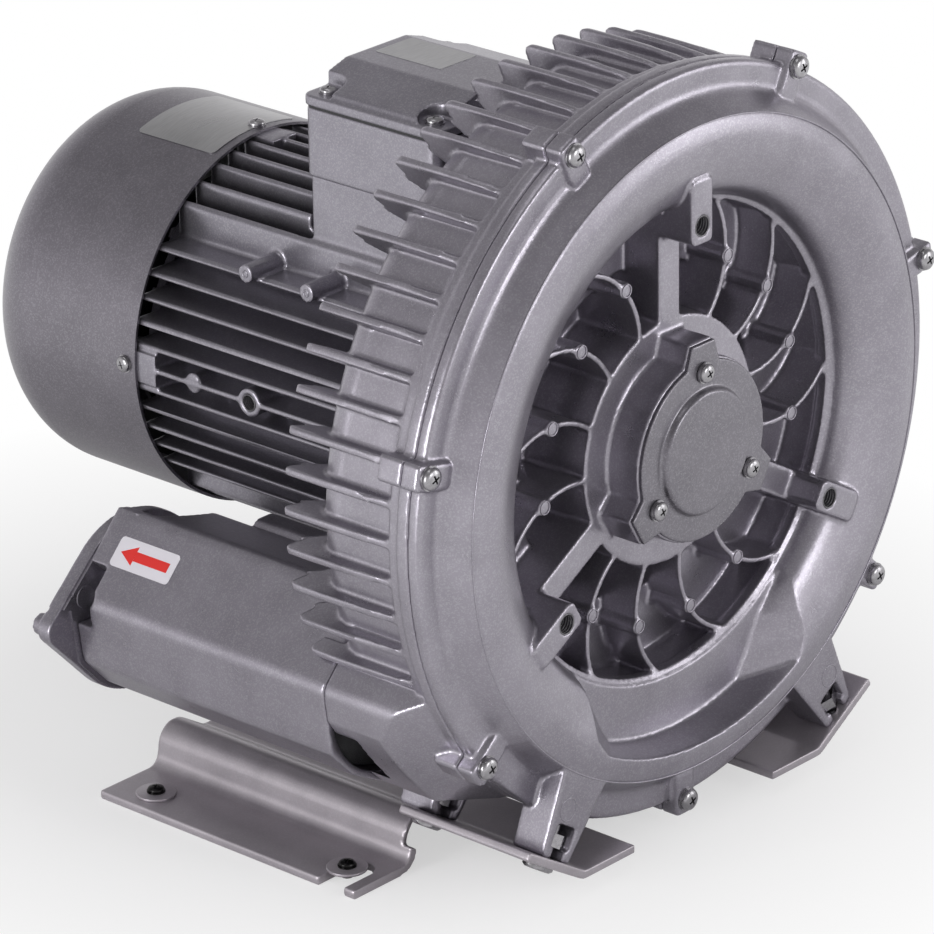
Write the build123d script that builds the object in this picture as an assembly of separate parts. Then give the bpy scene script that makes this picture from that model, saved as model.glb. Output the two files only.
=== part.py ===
from build123d import *
import math
import os

# Side channel blower: a ribbed two-part blower casing with an impeller inside, driven by a
# fan-cooled flange motor, breathing through two silencers that lie side by side under the motor.
#
# Every piece is drawn in the machine's own axes: the shaft lies on the Y axis, the parting face
# between blower cover and blower housing is y = 0, the cover looks to -Y, the motor lies to +Y.
# save() then moves it to the stored frame, whose origin is on the floor, halfway between the
# two rear foot holes. All lengths are millimetres and all angles degrees.

# ---------------------------------------------------------------- driving dimensions
FLANGE_R = 184.0                # parting flange of cover and housing; the casing grows with it
SHAFT_HEIGHT = FLANGE_R + 16.0  # shaft axis above the floor
REAR_HOLES_BEHIND_SEAM = 205.0  # rear foot holes behind the parting face

# blower casing
FLANGE_T = 6.8
CASTING_WALL = 5.0
CHANNEL_OUT_R = FLANGE_R - 17.0     # side channel, outer and inner wall
CHANNEL_IN_R = CHANNEL_OUT_R - 43.5
CREST_R = FLANGE_R - 22.0       # front crest of the cover's bulge
BULGE_DEPTH = 20.0
RING_R = CHANNEL_IN_R - 4.5     # rim of the ribbed recess in the cover
RIM_LIP_T = 2.5                 # thin lip that stands round the recess
RIM_LIP_STAND = 1.2
RECESS_Y = 22.0                 # recess floor, outer annulus
RECESS_STEP_R = 83.0
HUB_FLOOR_Y = 37.0              # recess floor, inner annulus
HUB_RING_R = 61.5
HUB_R = 46.0                    # front bearing housing
HUB_FRONT_Y = -18.4
STRIPPER_ARC = 62.0             # where the channel is shut between outlet and inlet
RIM_INNER_R = FLANGE_R - 35.0   # rim strip left in front of the stripper
LAND_Y = -3.0
ARC_STEPS = 14                  # straight pieces that stand for each arc of the stripper pocket

# cover ribs, pins and tapped bosses
RIB_STATIONS = 15
FIRST_PIN_ANGLE = 15.0
RIB_T = 2.6
RIB_LEAN = 12.5                 # how far a rib swings between its pin and the rim
PIN_R = 4.0
PIN_CIRCLE_R = 91.0
PIN_STAND = 1.2
BOSS_ANGLES = (90.0, -30.0, -150.0)
BOSS_HOLE_R = 5.1
BOSS_HOLE_CIRCLE_R = RING_R - 7.0
BOSS_HOLE_DEPTH = 24.0
BOSS_IN_R = RING_R - 16.0
BOSS_OUT_R = RING_R + 16.0
BOSS_WIDTH = 15.0
BOSS_FRONT_Y = -19.7

# screw lugs on the parting flange
LUG_COUNT = 7
LUG_CIRCLE_R = FLANGE_R + 0.4
LUG_OUT_R = FLANGE_R + 8.0
LUG_WIDTH = 13.0
LUG_FRONT = 10.5
LUG_BACK = 13.8
LUG_SCREW_R = 3.0
SCREW_CLEARANCE = 0.3

# barrel
BARREL_R = FLANGE_R - 8.0
BARREL_SHOULDER_Y = 62.0
BAND_Y = 14.0                   # smooth band behind the parting flange
REAR_WALL_Y = 52.0              # inner face of the rear wall, inside the channel
CHANNEL_BACK_Y = 60.0
REAR_FACE_Y = 65.0
FIN_COUNT = 42
FIN_SPAN = 252.8
FIN_T = 4.0
FIN_HEIGHT = 6.5
FIN_TIP_R = BARREL_R + FIN_HEIGHT
FIN_END_Y = 79.0

# feet of the casing and sheet-metal foot brackets
LEG_LEAN = 31.5                 # legs and bracket seats lean this far off the vertical
LEG_SEAT_R = FLANGE_R + 19.8    # distance of the seat from the shaft axis
LEG_ROOT_WIDTH = 34.0
LEG_SEAT_WIDTH = 21.0
REAR_LEG_Y = 50.0
LEG_LENGTH = 21.0
LEG_BOLT_R = 4.0
FOOT_T = 4.5
FOOT_BEND_R = 9.0
FOOT_FRONT_Y = -22.0
FOOT_STEP_Y = 60.0              # the floor flange starts here
FOOT_REAR_Y = 229.0
LEG_SEAT_X = LEG_SEAT_R * math.sin(math.radians(LEG_LEAN))
FOOT_FLOOR_OUT_X = LEG_SEAT_X + 53.5
FOOT_RISER_X = LEG_SEAT_X + 12.5
FOOT_SEAT_OUT_X = LEG_SEAT_X + 21.2
FOOT_INNER_BEND_X = LEG_SEAT_X - 18.5
FOOT_INNER_X = LEG_SEAT_X - 54.5
FOOT_HOLE_X = 145.0             # foot holes, from the middle
FOOT_HOLES_APART_Y = 130.0
FOOT_HOLE_R = 6.5
FOOT_SLOT_HALF_WIDTH = 8.0

# rotor and bearings
SHAFT_RUN = 0.05                # radial play of what turns in what stands
FRONT_BEARING = dict(bore_r=15.0, out_r=31.0, width=16.0, pitch_r=23.0, ball_r=4.7, y=-12.0)
REAR_BEARING = dict(bore_r=12.5, out_r=26.0, width=15.0, pitch_r=19.25, ball_r=3.9, y=256.0)
BALL_COUNT = 8
IMPELLER_FRONT_Y = 3.0
IMPELLER_WIDTH = 40.0
IMPELLER_BLADES = 44
IMPELLER_OUT_R = CHANNEL_OUT_R - 2.0
IMPELLER_RING_R = CHANNEL_IN_R + 1.3
IMPELLER_DISC_Y = 44.0
IMPELLER_DISC_T = 5.0
IMPELLER_HUB_Y = 20.0
IMPELLER_HUB_R = 30.0
IMPELLER_SEAT_R = 17.0
ROTOR_R = 40.0
AIR_GAP = 0.4
CORE_FRONT_Y = 112.0
CORE_LENGTH = 108.0
STATOR_R = 66.0
KEY_WIDTH = 8.0

# motor
MOTOR_CORE_R = 73.0
MOTOR_FIN_R = 94.5
MOTOR_FIN_T = 2.6
MOTOR_SIDE_PITCH = 11.13        # level side fins
MOTOR_TOP_PITCH = 10.7          # upright top and bottom fins
MOTOR_TOP_HALF = 58.1
MOTOR_REAR_Y = 262.0
COWL_R = 96.9
COWL_SHEET = 1.4
COWL_FRONT_Y = 258.0
COWL_BEND_Y = 336.0
COWL_END_Y = 364.0
COWL_END_R = 82.8
COWL_SCREW_Y = 265.0
COWL_SCREW_R = 2.0

# terminal box
BOX_CENTRE_X = -8.5
BOX_WIDTH = 101.0
BOX_FRONT_Y = 92.0
BOX_REAR_Y = 177.5
BOX_PEDESTAL_TOP = 108.0
BOX_RIM = 142.5
BOX_LID_T = 5.0
BOX_CROWN = 11.0
BOX_WALL = 4.0
GLAND_R = 12.0

# silencers
PORT_X = FLANGE_R - 59.0
PORT_Z = 81.0 - FLANGE_R
SILENCER_BORE_R = 41.0          # room for the foam sleeve
SILENCER_SHAPE = ((0.317, 1.256), (1.171, 0.366), (1.049, -0.488), (0.683, -0.878), (0.220, -1.122),
                  (-0.341, -1.122), (-0.976, -0.732), (-1.171, 0.098), (-0.659, 1.024))
SILENCER_CORNER_R = 9.0
SILENCER_END_Y = 229.0
SILENCER_BORE_END_Y = 196.0     # behind this only the rear bore goes on
SILENCER_REAR_BORE_R = 31.0
SLOPE_START_Y = 198.0           # the inner top falls away between these two
SLOPE_END_Y = 212.0
NOTCH_Y = 219.0                 # outer corner cut back for the bolt head
NOTCH_START_X = 21.0            # measured from the port's centre
NOTCH_FULL_X = 32.0
NOTCH_FLOOR_Z = 8.0
SHOULDER_END_Y = 182.0          # square shoulder on the inner side
PORT_FLANGE_GROW = 2.0
PORT_FLANGE_T = 8.0
PORT_NECK_END_Y = 244.0
PORT_NECK_T = 9.0
PORT_SPIGOT_L = 7.0
PORT_BORE_R = 28.4
PORT_BOLT_CIRCLE_R = 53.0
PORT_BOLT_ANGLES = (20.0, 193.0)
PORT_BOLT_R = 3.0
GAUGE_BOSS_R = 7.5              # blind boss on the outer ear of each port flange
GAUGE_BOSS_X = 56.0
GAUGE_BOSS_L = 13.0


# ---------------------------------------------------------------- drawing helpers
def turned(*outline):
    """A solid of revolution about the shaft axis from a closed (radius, y) outline."""
    return revolve(make_face(Polyline(*outline, close=True)), Axis.Y)


def ring(out_r, in_r, y0, y1):
    return turned((in_r, y0), (out_r, y0), (out_r, y1), (in_r, y1))


def along_y(outline, y0, y1):
    """Extrude a sketch, drawn as seen from the front (x right, z up), from y0 back to y1."""
    return extrude(Plane.XZ.offset(-y0) * outline, -(y1 - y0))


def rod(x, z, r, y0, y1):
    return along_y(Pos(x, z) * Circle(r), y0, y1)


def polar(r, angle):
    return (r * math.cos(math.radians(angle)), r * math.sin(math.radians(angle)))


def round_shaft(angle):
    """Turn a piece drawn at the +X side to the given angle, seen from the front."""
    return Rot(0, -angle, 0)


def radial_block(width, r0, r1, y0, y1):
    """A block on the +X side, standing out from the shaft axis."""
    return along_y(Pos((r0 + r1) / 2, 0) * Rectangle(r1 - r0, width), y0, y1)


def lug_angles():
    return [-90 + k * 360 / LUG_COUNT for k in range(LUG_COUNT)]


def leg_angles():
    return (-90 - LEG_LEAN, -90 + LEG_LEAN)


def sector_of(outline, gap):
    """A revolved channel that leaves a gap of that many degrees centred straight down."""
    return Rot(0, 90 + gap / 2, 0) * revolve(outline, Axis.Y, 360 - gap)


def pan_screw(shank_r, shank_l, head_r, head_h):
    """A screw along +Y: its head stands to -Y of y = 0."""
    head = turned((0, -head_h), (head_r * 0.55, -head_h), (head_r * 0.9, -head_h * 0.6),
                  (head_r, 0), (0, 0))
    return head + rod(0, 0, shank_r, 0, shank_l)


def hex_bolt(shank_r, shank_l, across_flats, head_h):
    """A bolt along +Y: its hexagon head stands to -Y of y = 0."""
    head = along_y(RegularPolygon(across_flats / 2, 6, major_radius=False), -head_h, 0)
    return head + rod(0, 0, shank_r, 0, shank_l)


def save(name, *solids):
    """Move a piece to the stored frame and write it as one node."""
    frame = Pos(0, -REAR_HOLES_BEHIND_SEAM, SHAFT_HEIGHT)
    shape = frame * Compound(children=[s for group in solids for s in group.solids()])
    export_step(shape, f"parts/{name}.step")
    print(f"{name}: {len(shape.solids())} solids, {shape.volume / 1000:.1f} cm3")


# ---------------------------------------------------------------- blower cover
BEARING_SEAT_Y = FRONT_BEARING["y"]
COVER_BACK_Y = HUB_FLOOR_Y + CASTING_WALL
STRIPPER_Y = IMPELLER_FRONT_Y - 1.0
THROAT_R = IMPELLER_SEAT_R + 1.0


def bulge_line():
    """Front skin of the cover from the parting flange over the bulge to the recess rim."""
    flank = Spline((FLANGE_R - 10, -FLANGE_T), (FLANGE_R - 15.5, -FLANGE_T - 3), (CREST_R, -BULGE_DEPTH),
                   tangents=((-1, 0), (-0.55, -0.83)))
    crown = Spline((CREST_R, -BULGE_DEPTH), (CREST_R - 14, -BULGE_DEPTH - 1.6),
                   (RING_R + 12.5, -BULGE_DEPTH + 4), (RING_R, 0), tangents=((-1, -0.25), (-0.2, 1)))
    return [flank, crown]


def cover_shell():
    rim = Polyline((FLANGE_R, 0), (FLANGE_R, 1.2 - FLANGE_T), (FLANGE_R - 1.2, -FLANGE_T),
                   (FLANGE_R - 10, -FLANGE_T))
    inside = Polyline((RING_R, 0), (RING_R - 1.5, RECESS_Y), (RECESS_STEP_R, RECESS_Y),
                      (RECESS_STEP_R - 1.5, HUB_FLOOR_Y), (HUB_RING_R + 1, HUB_FLOOR_Y), (HUB_RING_R, 0),
                      (HUB_R, 0), (HUB_R - 0.5, HUB_FRONT_Y), (FRONT_BEARING["out_r"], HUB_FRONT_Y),
                      (FRONT_BEARING["out_r"], BEARING_SEAT_Y + FRONT_BEARING["width"]),
                      (THROAT_R + 6, BEARING_SEAT_Y + FRONT_BEARING["width"]),
                      (THROAT_R + 6, BEARING_SEAT_Y + FRONT_BEARING["width"] + CASTING_WALL),
                      (HUB_R - 6, BEARING_SEAT_Y + FRONT_BEARING["width"] + CASTING_WALL),
                      (HUB_RING_R - CASTING_WALL, CASTING_WALL + 4), (HUB_RING_R - CASTING_WALL + 1, COVER_BACK_Y),
                      (RECESS_STEP_R + CASTING_WALL, COVER_BACK_Y),
                      (RECESS_STEP_R + CASTING_WALL, RECESS_Y + CASTING_WALL),
                      (CHANNEL_IN_R, RECESS_Y + CASTING_WALL), (CHANNEL_IN_R, STRIPPER_Y),
                      (CHANNEL_OUT_R, STRIPPER_Y), (CHANNEL_OUT_R, 0), (FLANGE_R, 0))
    shell = revolve(make_face([rim, *bulge_line(), inside]), Axis.Y)
    return shell


def channel_room():
    """The front half of the side channel."""
    roof = Spline((CHANNEL_IN_R, -2), (CHANNEL_IN_R + 9, -BULGE_DEPTH + 7.5), (CHANNEL_IN_R + 23, -BULGE_DEPTH + 4),
                  (CHANNEL_OUT_R - 8, -BULGE_DEPTH + 7.5), (CHANNEL_OUT_R, 0))
    walls = Polyline((CHANNEL_OUT_R, 0), (CHANNEL_OUT_R, STRIPPER_Y + 1), (CHANNEL_IN_R, STRIPPER_Y + 1),
                     (CHANNEL_IN_R, -2))
    return sector_of(make_face([roof, walls]), STRIPPER_ARC + 12)


def stripper_pocket():
    """The bulge is cut away in front of the stripper, down to a land that runs out to the rim strip."""
    low = pocket_outline((RING_R - 6, -139), (RING_R + 1, -129), (RING_R + 8, -121), (RIM_INNER_R - 9, -113.5),
                         (RIM_INNER_R - 2, -109.5), (RIM_INNER_R - 2, -72.5), (RING_R + 18, -67), (RING_R + 8, -61),
                         (RING_R + 2, -51), (RING_R - 6, -42))
    high = pocket_outline((RING_R - 6, -142), (RING_R + 3, -134), (RING_R + 13, -128), (RIM_INNER_R - 4, -122.5),
                          (RIM_INNER_R + 1, -118), (RIM_INNER_R + 2, -61), (RING_R + 26, -57), (RING_R + 16, -52),
                          (RING_R + 4, -45), (RING_R - 6, -40))
    front = Plane.XZ.offset(BULGE_DEPTH + 2)
    return loft([Plane.XZ.offset(-LAND_Y) * low, front * high], ruled=True) + extrude(front * high, 10)


def pocket_outline(*corners):
    """A polygon: five corners down one end, an arc to the sixth, four more up the other end, an arc home."""
    (r0, a0), (r1, a1) = corners[4], corners[5]
    outer = [(r0 + (r1 - r0) * k / ARC_STEPS, a0 + (a1 - a0) * k / ARC_STEPS) for k in range(1, ARC_STEPS)]
    (r2, a2), (r3, a3) = corners[-1], corners[0]
    inner = [(r2 + (r3 - r2) * k / ARC_STEPS, a2 + (a3 - a2) * k / ARC_STEPS) for k in range(1, ARC_STEPS)]
    trail = list(corners[:5]) + outer + list(corners[5:]) + inner
    return make_face(Polyline(*[polar(r, angle) for r, angle in trail], close=True))


def curved_rib(pin_angle):
    """One cooling rib: from the hub straight out to its pin, then leaning over to the rim."""
    spine = ThreePointArc(polar(HUB_RING_R - 1, pin_angle - 1), polar(PIN_CIRCLE_R, pin_angle),
                          polar(RING_R + 1, pin_angle + RIB_LEAN))
    return along_y(trace(spine, RIB_T), 0, COVER_BACK_Y)


def recess_room():
    return turned((HUB_RING_R - 1, 0), (RING_R + 1, 0), (RING_R, RECESS_Y + 1), (RECESS_STEP_R, RECESS_Y + 1),
                  (RECESS_STEP_R - 1, HUB_FLOOR_Y + 1), (HUB_RING_R - 1, HUB_FLOOR_Y + 1))


def cover_ribs():
    ribs = []
    for k in range(RIB_STATIONS):
        angle = FIRST_PIN_ANGLE + k * 360 / RIB_STATIONS
        near = min(BOSS_ANGLES, key=lambda boss: abs((angle - boss + 180) % 360 - 180))
        if abs((angle - near + 180) % 360 - 180) < 5:
            ribs.append(round_shaft(near) * radial_block(BOSS_WIDTH, HUB_RING_R - 1, BOSS_IN_R + 2, 0, COVER_BACK_Y))
        else:
            ribs.append(curved_rib(angle))
    return Part() + ribs & recess_room()


def cover_pins():
    pins = []
    for k in range(RIB_STATIONS):
        angle = FIRST_PIN_ANGLE + k * 360 / RIB_STATIONS
        if all(abs((angle - boss + 180) % 360 - 180) >= 5 for boss in BOSS_ANGLES):
            pins.append(rod(*polar(PIN_CIRCLE_R, angle), PIN_R, -PIN_STAND, RECESS_Y + 1))
    return pins


def mounting_boss(angle):
    """A block that stands up through the recess, tapped for whatever is hung on the cover."""
    middle = (BOSS_IN_R + BOSS_OUT_R) / 2
    block = along_y(Pos(middle, 0) * RectangleRounded(BOSS_OUT_R - BOSS_IN_R, BOSS_WIDTH, 3.5),
                    BOSS_FRONT_Y, RECESS_Y + 1)
    return round_shaft(angle) * block


def boss_hole(angle):
    return rod(*polar(BOSS_HOLE_CIRCLE_R, angle), BOSS_HOLE_R, BOSS_FRONT_Y - 1, BOSS_FRONT_Y + BOSS_HOLE_DEPTH)


CAP_SCREW_R = 2.5
CAP_SCREW_CIRCLE_R = 39.2
CAP_LOBE_R = 55.0
CAP_T = 2.6


def lobed_disc(radius, lobe_r):
    lobe = make_face(Polyline((radius - 12, -15), (lobe_r, -8), (lobe_r, 8), (radius - 12, 15), close=True))
    outline = Circle(radius)
    for angle in BOSS_ANGLES:
        outline += Rot(0, 0, angle) * lobe
    return outline


def screw_lug(angle, y0, y1):
    outline = Pos((CHANNEL_OUT_R + 3 + LUG_OUT_R) / 2, 0) * RectangleRounded(LUG_OUT_R - CHANNEL_OUT_R - 3, LUG_WIDTH, 2)
    return round_shaft(angle) * along_y(outline, y0, y1)


def casing_leg(angle, y0, root_r):
    """A foot of the casting: a tapered block, slotted at its end for the head of its bolt."""
    block = along_y(make_face(Polyline((root_r, -LEG_ROOT_WIDTH / 2), (LEG_SEAT_R, -LEG_SEAT_WIDTH / 2),
                                       (LEG_SEAT_R, LEG_SEAT_WIDTH / 2), (root_r, LEG_ROOT_WIDTH / 2), close=True)),
                    y0, y0 + LEG_LENGTH)
    return round_shaft(angle) * block


def leg_slot(angle, y0):
    """Room for the bolt's shank and, wider above it, for the head."""
    shank = radial_block(2 * LEG_BOLT_R + 1, LEG_SEAT_R - LEG_SLOT_ROOF, LEG_SEAT_R + 1, y0 - 1, y0 + LEG_SLOT_DEPTH)
    head = radial_block(LEG_HEAD_ACROSS + 1, LEG_SEAT_R - LEG_SLOT_ROOF, LEG_SEAT_R - LEG_SLOT_LIP, y0 - 1, y0 + LEG_SLOT_DEPTH)
    return round_shaft(angle) * (shank + head)


LEG_SLOT_ROOF = 17.0
LEG_SLOT_LIP = 5.5
LEG_SLOT_DEPTH = 17.0
LEG_HEAD_ACROSS = 13.0
LEG_HEAD_H = 5.5
COVER_LEG_Y = -BULGE_DEPTH
LEG_BOLT_DEPTH = 8.0            # bolt axis behind the leg's front face


def blower_cover():
    body = cover_shell() - stripper_pocket()
    body += along_y(lobed_disc(HUB_R - 0.5, CAP_LOBE_R), HUB_FRONT_Y, 1)
    body += ring(RING_R, RING_R - RIM_LIP_T, -RIM_LIP_STAND, CASTING_WALL)
    body += cover_ribs()
    body += cover_pins()
    body += [mounting_boss(angle) for angle in BOSS_ANGLES]
    body -= channel_room()
    body -= ring(CHANNEL_OUT_R, CHANNEL_IN_R, STRIPPER_Y, COVER_BACK_Y)
    body += [screw_lug(angle, -LUG_FRONT, 0) for angle in lug_angles()]
    body += [casing_leg(angle, COVER_LEG_Y, CREST_R) & ring(LEG_SEAT_R + 20, CREST_R, COVER_LEG_Y, 0)
             for angle in leg_angles()]
    body -= rod(0, 0, FRONT_BEARING["out_r"], HUB_FRONT_Y - 1, BEARING_SEAT_Y + FRONT_BEARING["width"])
    body -= [boss_hole(angle) for angle in BOSS_ANGLES]
    body -= [rod(*polar(LUG_CIRCLE_R, angle), LUG_SCREW_R + SCREW_CLEARANCE, -LUG_FRONT - 1, 1)
             for angle in lug_angles()]
    body -= [rod(*polar(CAP_SCREW_CIRCLE_R, angle), CAP_SCREW_R, HUB_FRONT_Y - 1, -2) for angle in BOSS_ANGLES]
    body -= [leg_slot(angle, COVER_LEG_Y) for angle in leg_angles()]
    return body - cover_gasket()


# ---------------------------------------------------------------- front bearing and its cap
def bearing_parts(spec):
    """Inner race, outer race and caged balls of a deep-groove bearing."""
    middle = spec["y"] + spec["width"] / 2
    groove = Pos(0, middle, 0) * Rot(90, 0, 0) * Torus(spec["pitch_r"], spec["ball_r"] + SHAFT_RUN)
    inner = ring(spec["pitch_r"] - spec["ball_r"] * 0.55, spec["bore_r"], spec["y"], spec["y"] + spec["width"])
    outer = ring(spec["out_r"], spec["pitch_r"] + spec["ball_r"] * 0.55, spec["y"], spec["y"] + spec["width"])
    balls = []
    pockets = []
    for k in range(BALL_COUNT):
        x, z = polar(spec["pitch_r"], k * 360 / BALL_COUNT)
        balls.append(Pos(x, middle, z) * Sphere(spec["ball_r"]))
        pocket = Pos(spec["pitch_r"], middle, 0) * Rot(0, 90, 0) * Cylinder(spec["ball_r"] + 0.15, 5)
        pockets.append(round_shaft(k * 360 / BALL_COUNT) * pocket)
    half = spec["width"] / 2 - 1.5
    cage = ring(spec["pitch_r"] + 0.8, spec["pitch_r"] - 0.8, middle - half, middle + half) - pockets
    return inner - groove, outer - groove, [cage] + balls


def bearing_cap():
    """Pressed cap over the front bearing: a lobed plate with a raised disc and a spigot."""
    plate = along_y(lobed_disc(HUB_R - 1.5, CAP_LOBE_R - 1), HUB_FRONT_Y - CAP_T, HUB_FRONT_Y)
    plate += turned((0, HUB_FRONT_Y - CAP_T - 3.4), (29.5, HUB_FRONT_Y - CAP_T - 3.4),
                    (30.5, HUB_FRONT_Y - CAP_T - 2.6), (31.5, HUB_FRONT_Y - CAP_T), (0, HUB_FRONT_Y - CAP_T))
    spigot = ring(FRONT_BEARING["out_r"] - 0.1, FRONT_BEARING["out_r"] - 4, HUB_FRONT_Y, BEARING_SEAT_Y - SPRING_H)
    holes = [rod(*polar(CAP_SCREW_CIRCLE_R, angle), CAP_SCREW_R + SCREW_CLEARANCE, HUB_FRONT_Y - 9, HUB_FRONT_Y)
             for angle in BOSS_ANGLES]
    return plate + spigot - holes


SPRING_H = 2.0


def wave_spring():
    """A bent washer that preloads the front bearing's outer race."""
    flat = ring(FRONT_BEARING["out_r"] - 0.4, FRONT_BEARING["out_r"] - 3.6, BEARING_SEAT_Y - SPRING_H, BEARING_SEAT_Y)
    dents = []
    for k in range(4):
        x, z = polar(FRONT_BEARING["out_r"], k * 90)
        x2, z2 = polar(FRONT_BEARING["out_r"], k * 90 + 45)
        dents.append(Pos(x, BEARING_SEAT_Y, z) * Rot(0, -k * 90, 0) * Box(12, 2 * SPRING_H - 1.6, 17))
        dents.append(Pos(x2, BEARING_SEAT_Y - SPRING_H, z2) * Rot(0, -k * 90 - 45, 0) * Box(12, 2 * SPRING_H - 1.6, 17))
    return flat - dents


# ---------------------------------------------------------------- blower housing
def silencer_outline():
    """Cross-section of silencer and port stub on the +X side, as seen from the front."""
    corners = [(PORT_X + x * SILENCER_BORE_R, PORT_Z + z * SILENCER_BORE_R) for x, z in SILENCER_SHAPE]
    return fillet(make_face(Polyline(*corners, close=True)).vertices(), SILENCER_CORNER_R)


COLUMN_CIRCLE_R = SILENCER_BORE_R - 2.5
COLUMN_R = 7.0
COLUMN_ANGLES = (75.0, -105.0)
SILENCER_BOLT_R = 3.0


def column_places(x):
    """Centres of the two bolt columns inside the silencer whose port stands at x."""
    side = 1 if x > 0 else -1
    return [(x + side * dx, PORT_Z + dz) for dx, dz in (polar(COLUMN_CIRCLE_R, angle) for angle in COLUMN_ANGLES)]


def silencer_columns(x, y0, y1):
    return [rod(*place, COLUMN_R, y0, y1) for place in column_places(x)]


def port_stub():
    """Collar on the housing's back that hands the air to a silencer."""
    cone = turned((0, FLANGE_T), (FLANGE_R, FLANGE_T), (FLANGE_R + STUB_RISE, FLANGE_T + 1.5 * STUB_RISE),
                  (FLANGE_R + STUB_RISE, REAR_FACE_Y), (0, REAR_FACE_Y))
    return along_y(silencer_outline(), FLANGE_T, REAR_FACE_Y) & cone


STUB_RISE = 16.0                # how far a port stub may stand out past the parting flange


def both_sides(shape):
    return [shape, mirror(shape, Plane.YZ)]


def barrel():
    r_back = BARREL_R - 14
    skin = Polyline((CHANNEL_OUT_R, 0), (FLANGE_R, 0), (FLANGE_R, FLANGE_T), (FLANGE_R - 3, FLANGE_T + 1),
                    (FLANGE_R - 3, BAND_Y), (BARREL_R, BAND_Y + 3), (BARREL_R, BARREL_SHOULDER_Y - 14))
    shoulder = ThreePointArc((BARREL_R, BARREL_SHOULDER_Y - 14), (BARREL_R - 4.2, BARREL_SHOULDER_Y - 1),
                             (r_back, REAR_FACE_Y))
    back = Polyline((r_back, REAR_FACE_Y), (CHANNEL_IN_R - 4, REAR_FACE_Y), (CHANNEL_IN_R - 8, REAR_WALL_Y + 8),
                    (SEAL_HOUSING_R, REAR_WALL_Y + 8), (SEAL_HOUSING_R, REAR_WALL_Y), (CHANNEL_IN_R, REAR_WALL_Y),
                    (CHANNEL_IN_R, IMPELLER_FRONT_Y + IMPELLER_WIDTH + 1),
                    (CHANNEL_OUT_R, IMPELLER_FRONT_Y + IMPELLER_WIDTH + 1), (CHANNEL_OUT_R, 0))
    body = revolve(make_face([skin, shoulder, back]), Axis.Y)
    lip = IMPELLER_FRONT_Y + IMPELLER_WIDTH
    floor = Spline((CHANNEL_IN_R, lip + 4), (CHANNEL_IN_R + 8, CHANNEL_BACK_Y - 3), (CHANNEL_IN_R + 21, CHANNEL_BACK_Y),
                   (CHANNEL_OUT_R - 9, CHANNEL_BACK_Y - 3), (CHANNEL_OUT_R, lip + 2))
    walls = Polyline((CHANNEL_OUT_R, lip + 2), (CHANNEL_OUT_R, lip), (CHANNEL_IN_R, lip), (CHANNEL_IN_R, lip + 4))
    return body - sector_of(make_face([floor, walls]), STRIPPER_ARC)


SEAL_HOUSING_R = 26.0
PORT_DUCT_R = 32.0


def barrel_fins():
    """Shark-fin ribs along the barrel, their tails standing out past its rounded shoulder."""
    edge = Spline((FLANGE_R - 4, BAND_Y - 4), (FIN_TIP_R - 1, BAND_Y + 12), (FIN_TIP_R, FIN_END_Y - 20), (FIN_TIP_R, FIN_END_Y - 5))
    tail = Spline((FIN_TIP_R, FIN_END_Y - 5), (FIN_TIP_R - 3, FIN_END_Y), (FIN_TIP_R - 10, FIN_END_Y - 2.5),
                  (BARREL_R - 17, REAR_FACE_Y - 1), tangents=((0, 1), (-0.6, -0.8)))
    root = Polyline((BARREL_R - 17, REAR_FACE_Y - 1), (BARREL_R - 12, BARREL_SHOULDER_Y - 8), (BARREL_R - 3, BAND_Y + 20),
                    (BARREL_R - 3, BAND_Y - 4), (FLANGE_R - 4, BAND_Y - 4))
    blade = extrude(make_face([edge, tail, root]), FIN_T / 2, both=True)
    first = -90 + (360 - FIN_SPAN) / 2
    fins = [round_shaft(first + k * FIN_SPAN / (FIN_COUNT - 1)) * blade for k in range(FIN_COUNT)]
    rooms = both_sides(along_y(offset(silencer_outline(), 2.0), REAR_FACE_Y - 2, FIN_END_Y + 1))
    return [fin - rooms if k < 4 or k >= FIN_COUNT - 4 else fin for k, fin in enumerate(fins)]


MOTOR_BOLT_CIRCLE_R = 84.0
MOTOR_BOLT_R = 4.0
MOTOR_BOLT_ANGLES = (45, 135, 225, 315)
SPIGOT_R = 76.0
SPIGOT_T = 3.0


def blower_housing():
    body = barrel() + barrel_fins()
    for side in both_sides(port_stub()):
        body += side - rod(0, 0, BARREL_R - 4, 0, REAR_FACE_Y)
    for x in (PORT_X, -PORT_X):
        mouth = rod(x, PORT_Z, SILENCER_BORE_R, REAR_FACE_Y - 14, REAR_FACE_Y + 1)
        body -= mouth - rod(0, 0, CHANNEL_OUT_R, 0, REAR_FACE_Y) - silencer_columns(x, REAR_FACE_Y - 15, REAR_FACE_Y + 1)
        body -= rod(x * 0.95, PORT_Z * 0.95, PORT_DUCT_R, CHANNEL_BACK_Y - 14, REAR_FACE_Y + 1)
        body -= [rod(*place, SILENCER_BOLT_R, REAR_FACE_Y - 12, REAR_FACE_Y + 1) for place in column_places(x)]
    body += [screw_lug(angle, 0, LUG_BACK) for angle in lug_angles()]
    legs = Part() + [casing_leg(angle, REAR_LEG_Y, BARREL_R - 5) for angle in leg_angles()]
    for outline in (silencer_outline(), mirror(silencer_outline(), Plane.YZ)):
        legs -= along_y(offset(outline, 0.5), REAR_FACE_Y, REAR_LEG_Y + LEG_LENGTH + 1)
    body += legs
    body -= [leg_slot(angle, REAR_LEG_Y) for angle in leg_angles()]
    body -= [rod(*polar(LUG_CIRCLE_R, angle), LUG_SCREW_R, -1, LUG_BACK + 1) for angle in lug_angles()]
    body -= [rod(*polar(MOTOR_BOLT_CIRCLE_R, angle), MOTOR_BOLT_R, REAR_WALL_Y + 1, REAR_FACE_Y)
             for angle in MOTOR_BOLT_ANGLES]
    return body


# ---------------------------------------------------------------- seals and rotor
SHAFT_SEAL_R = 19.0


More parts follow.
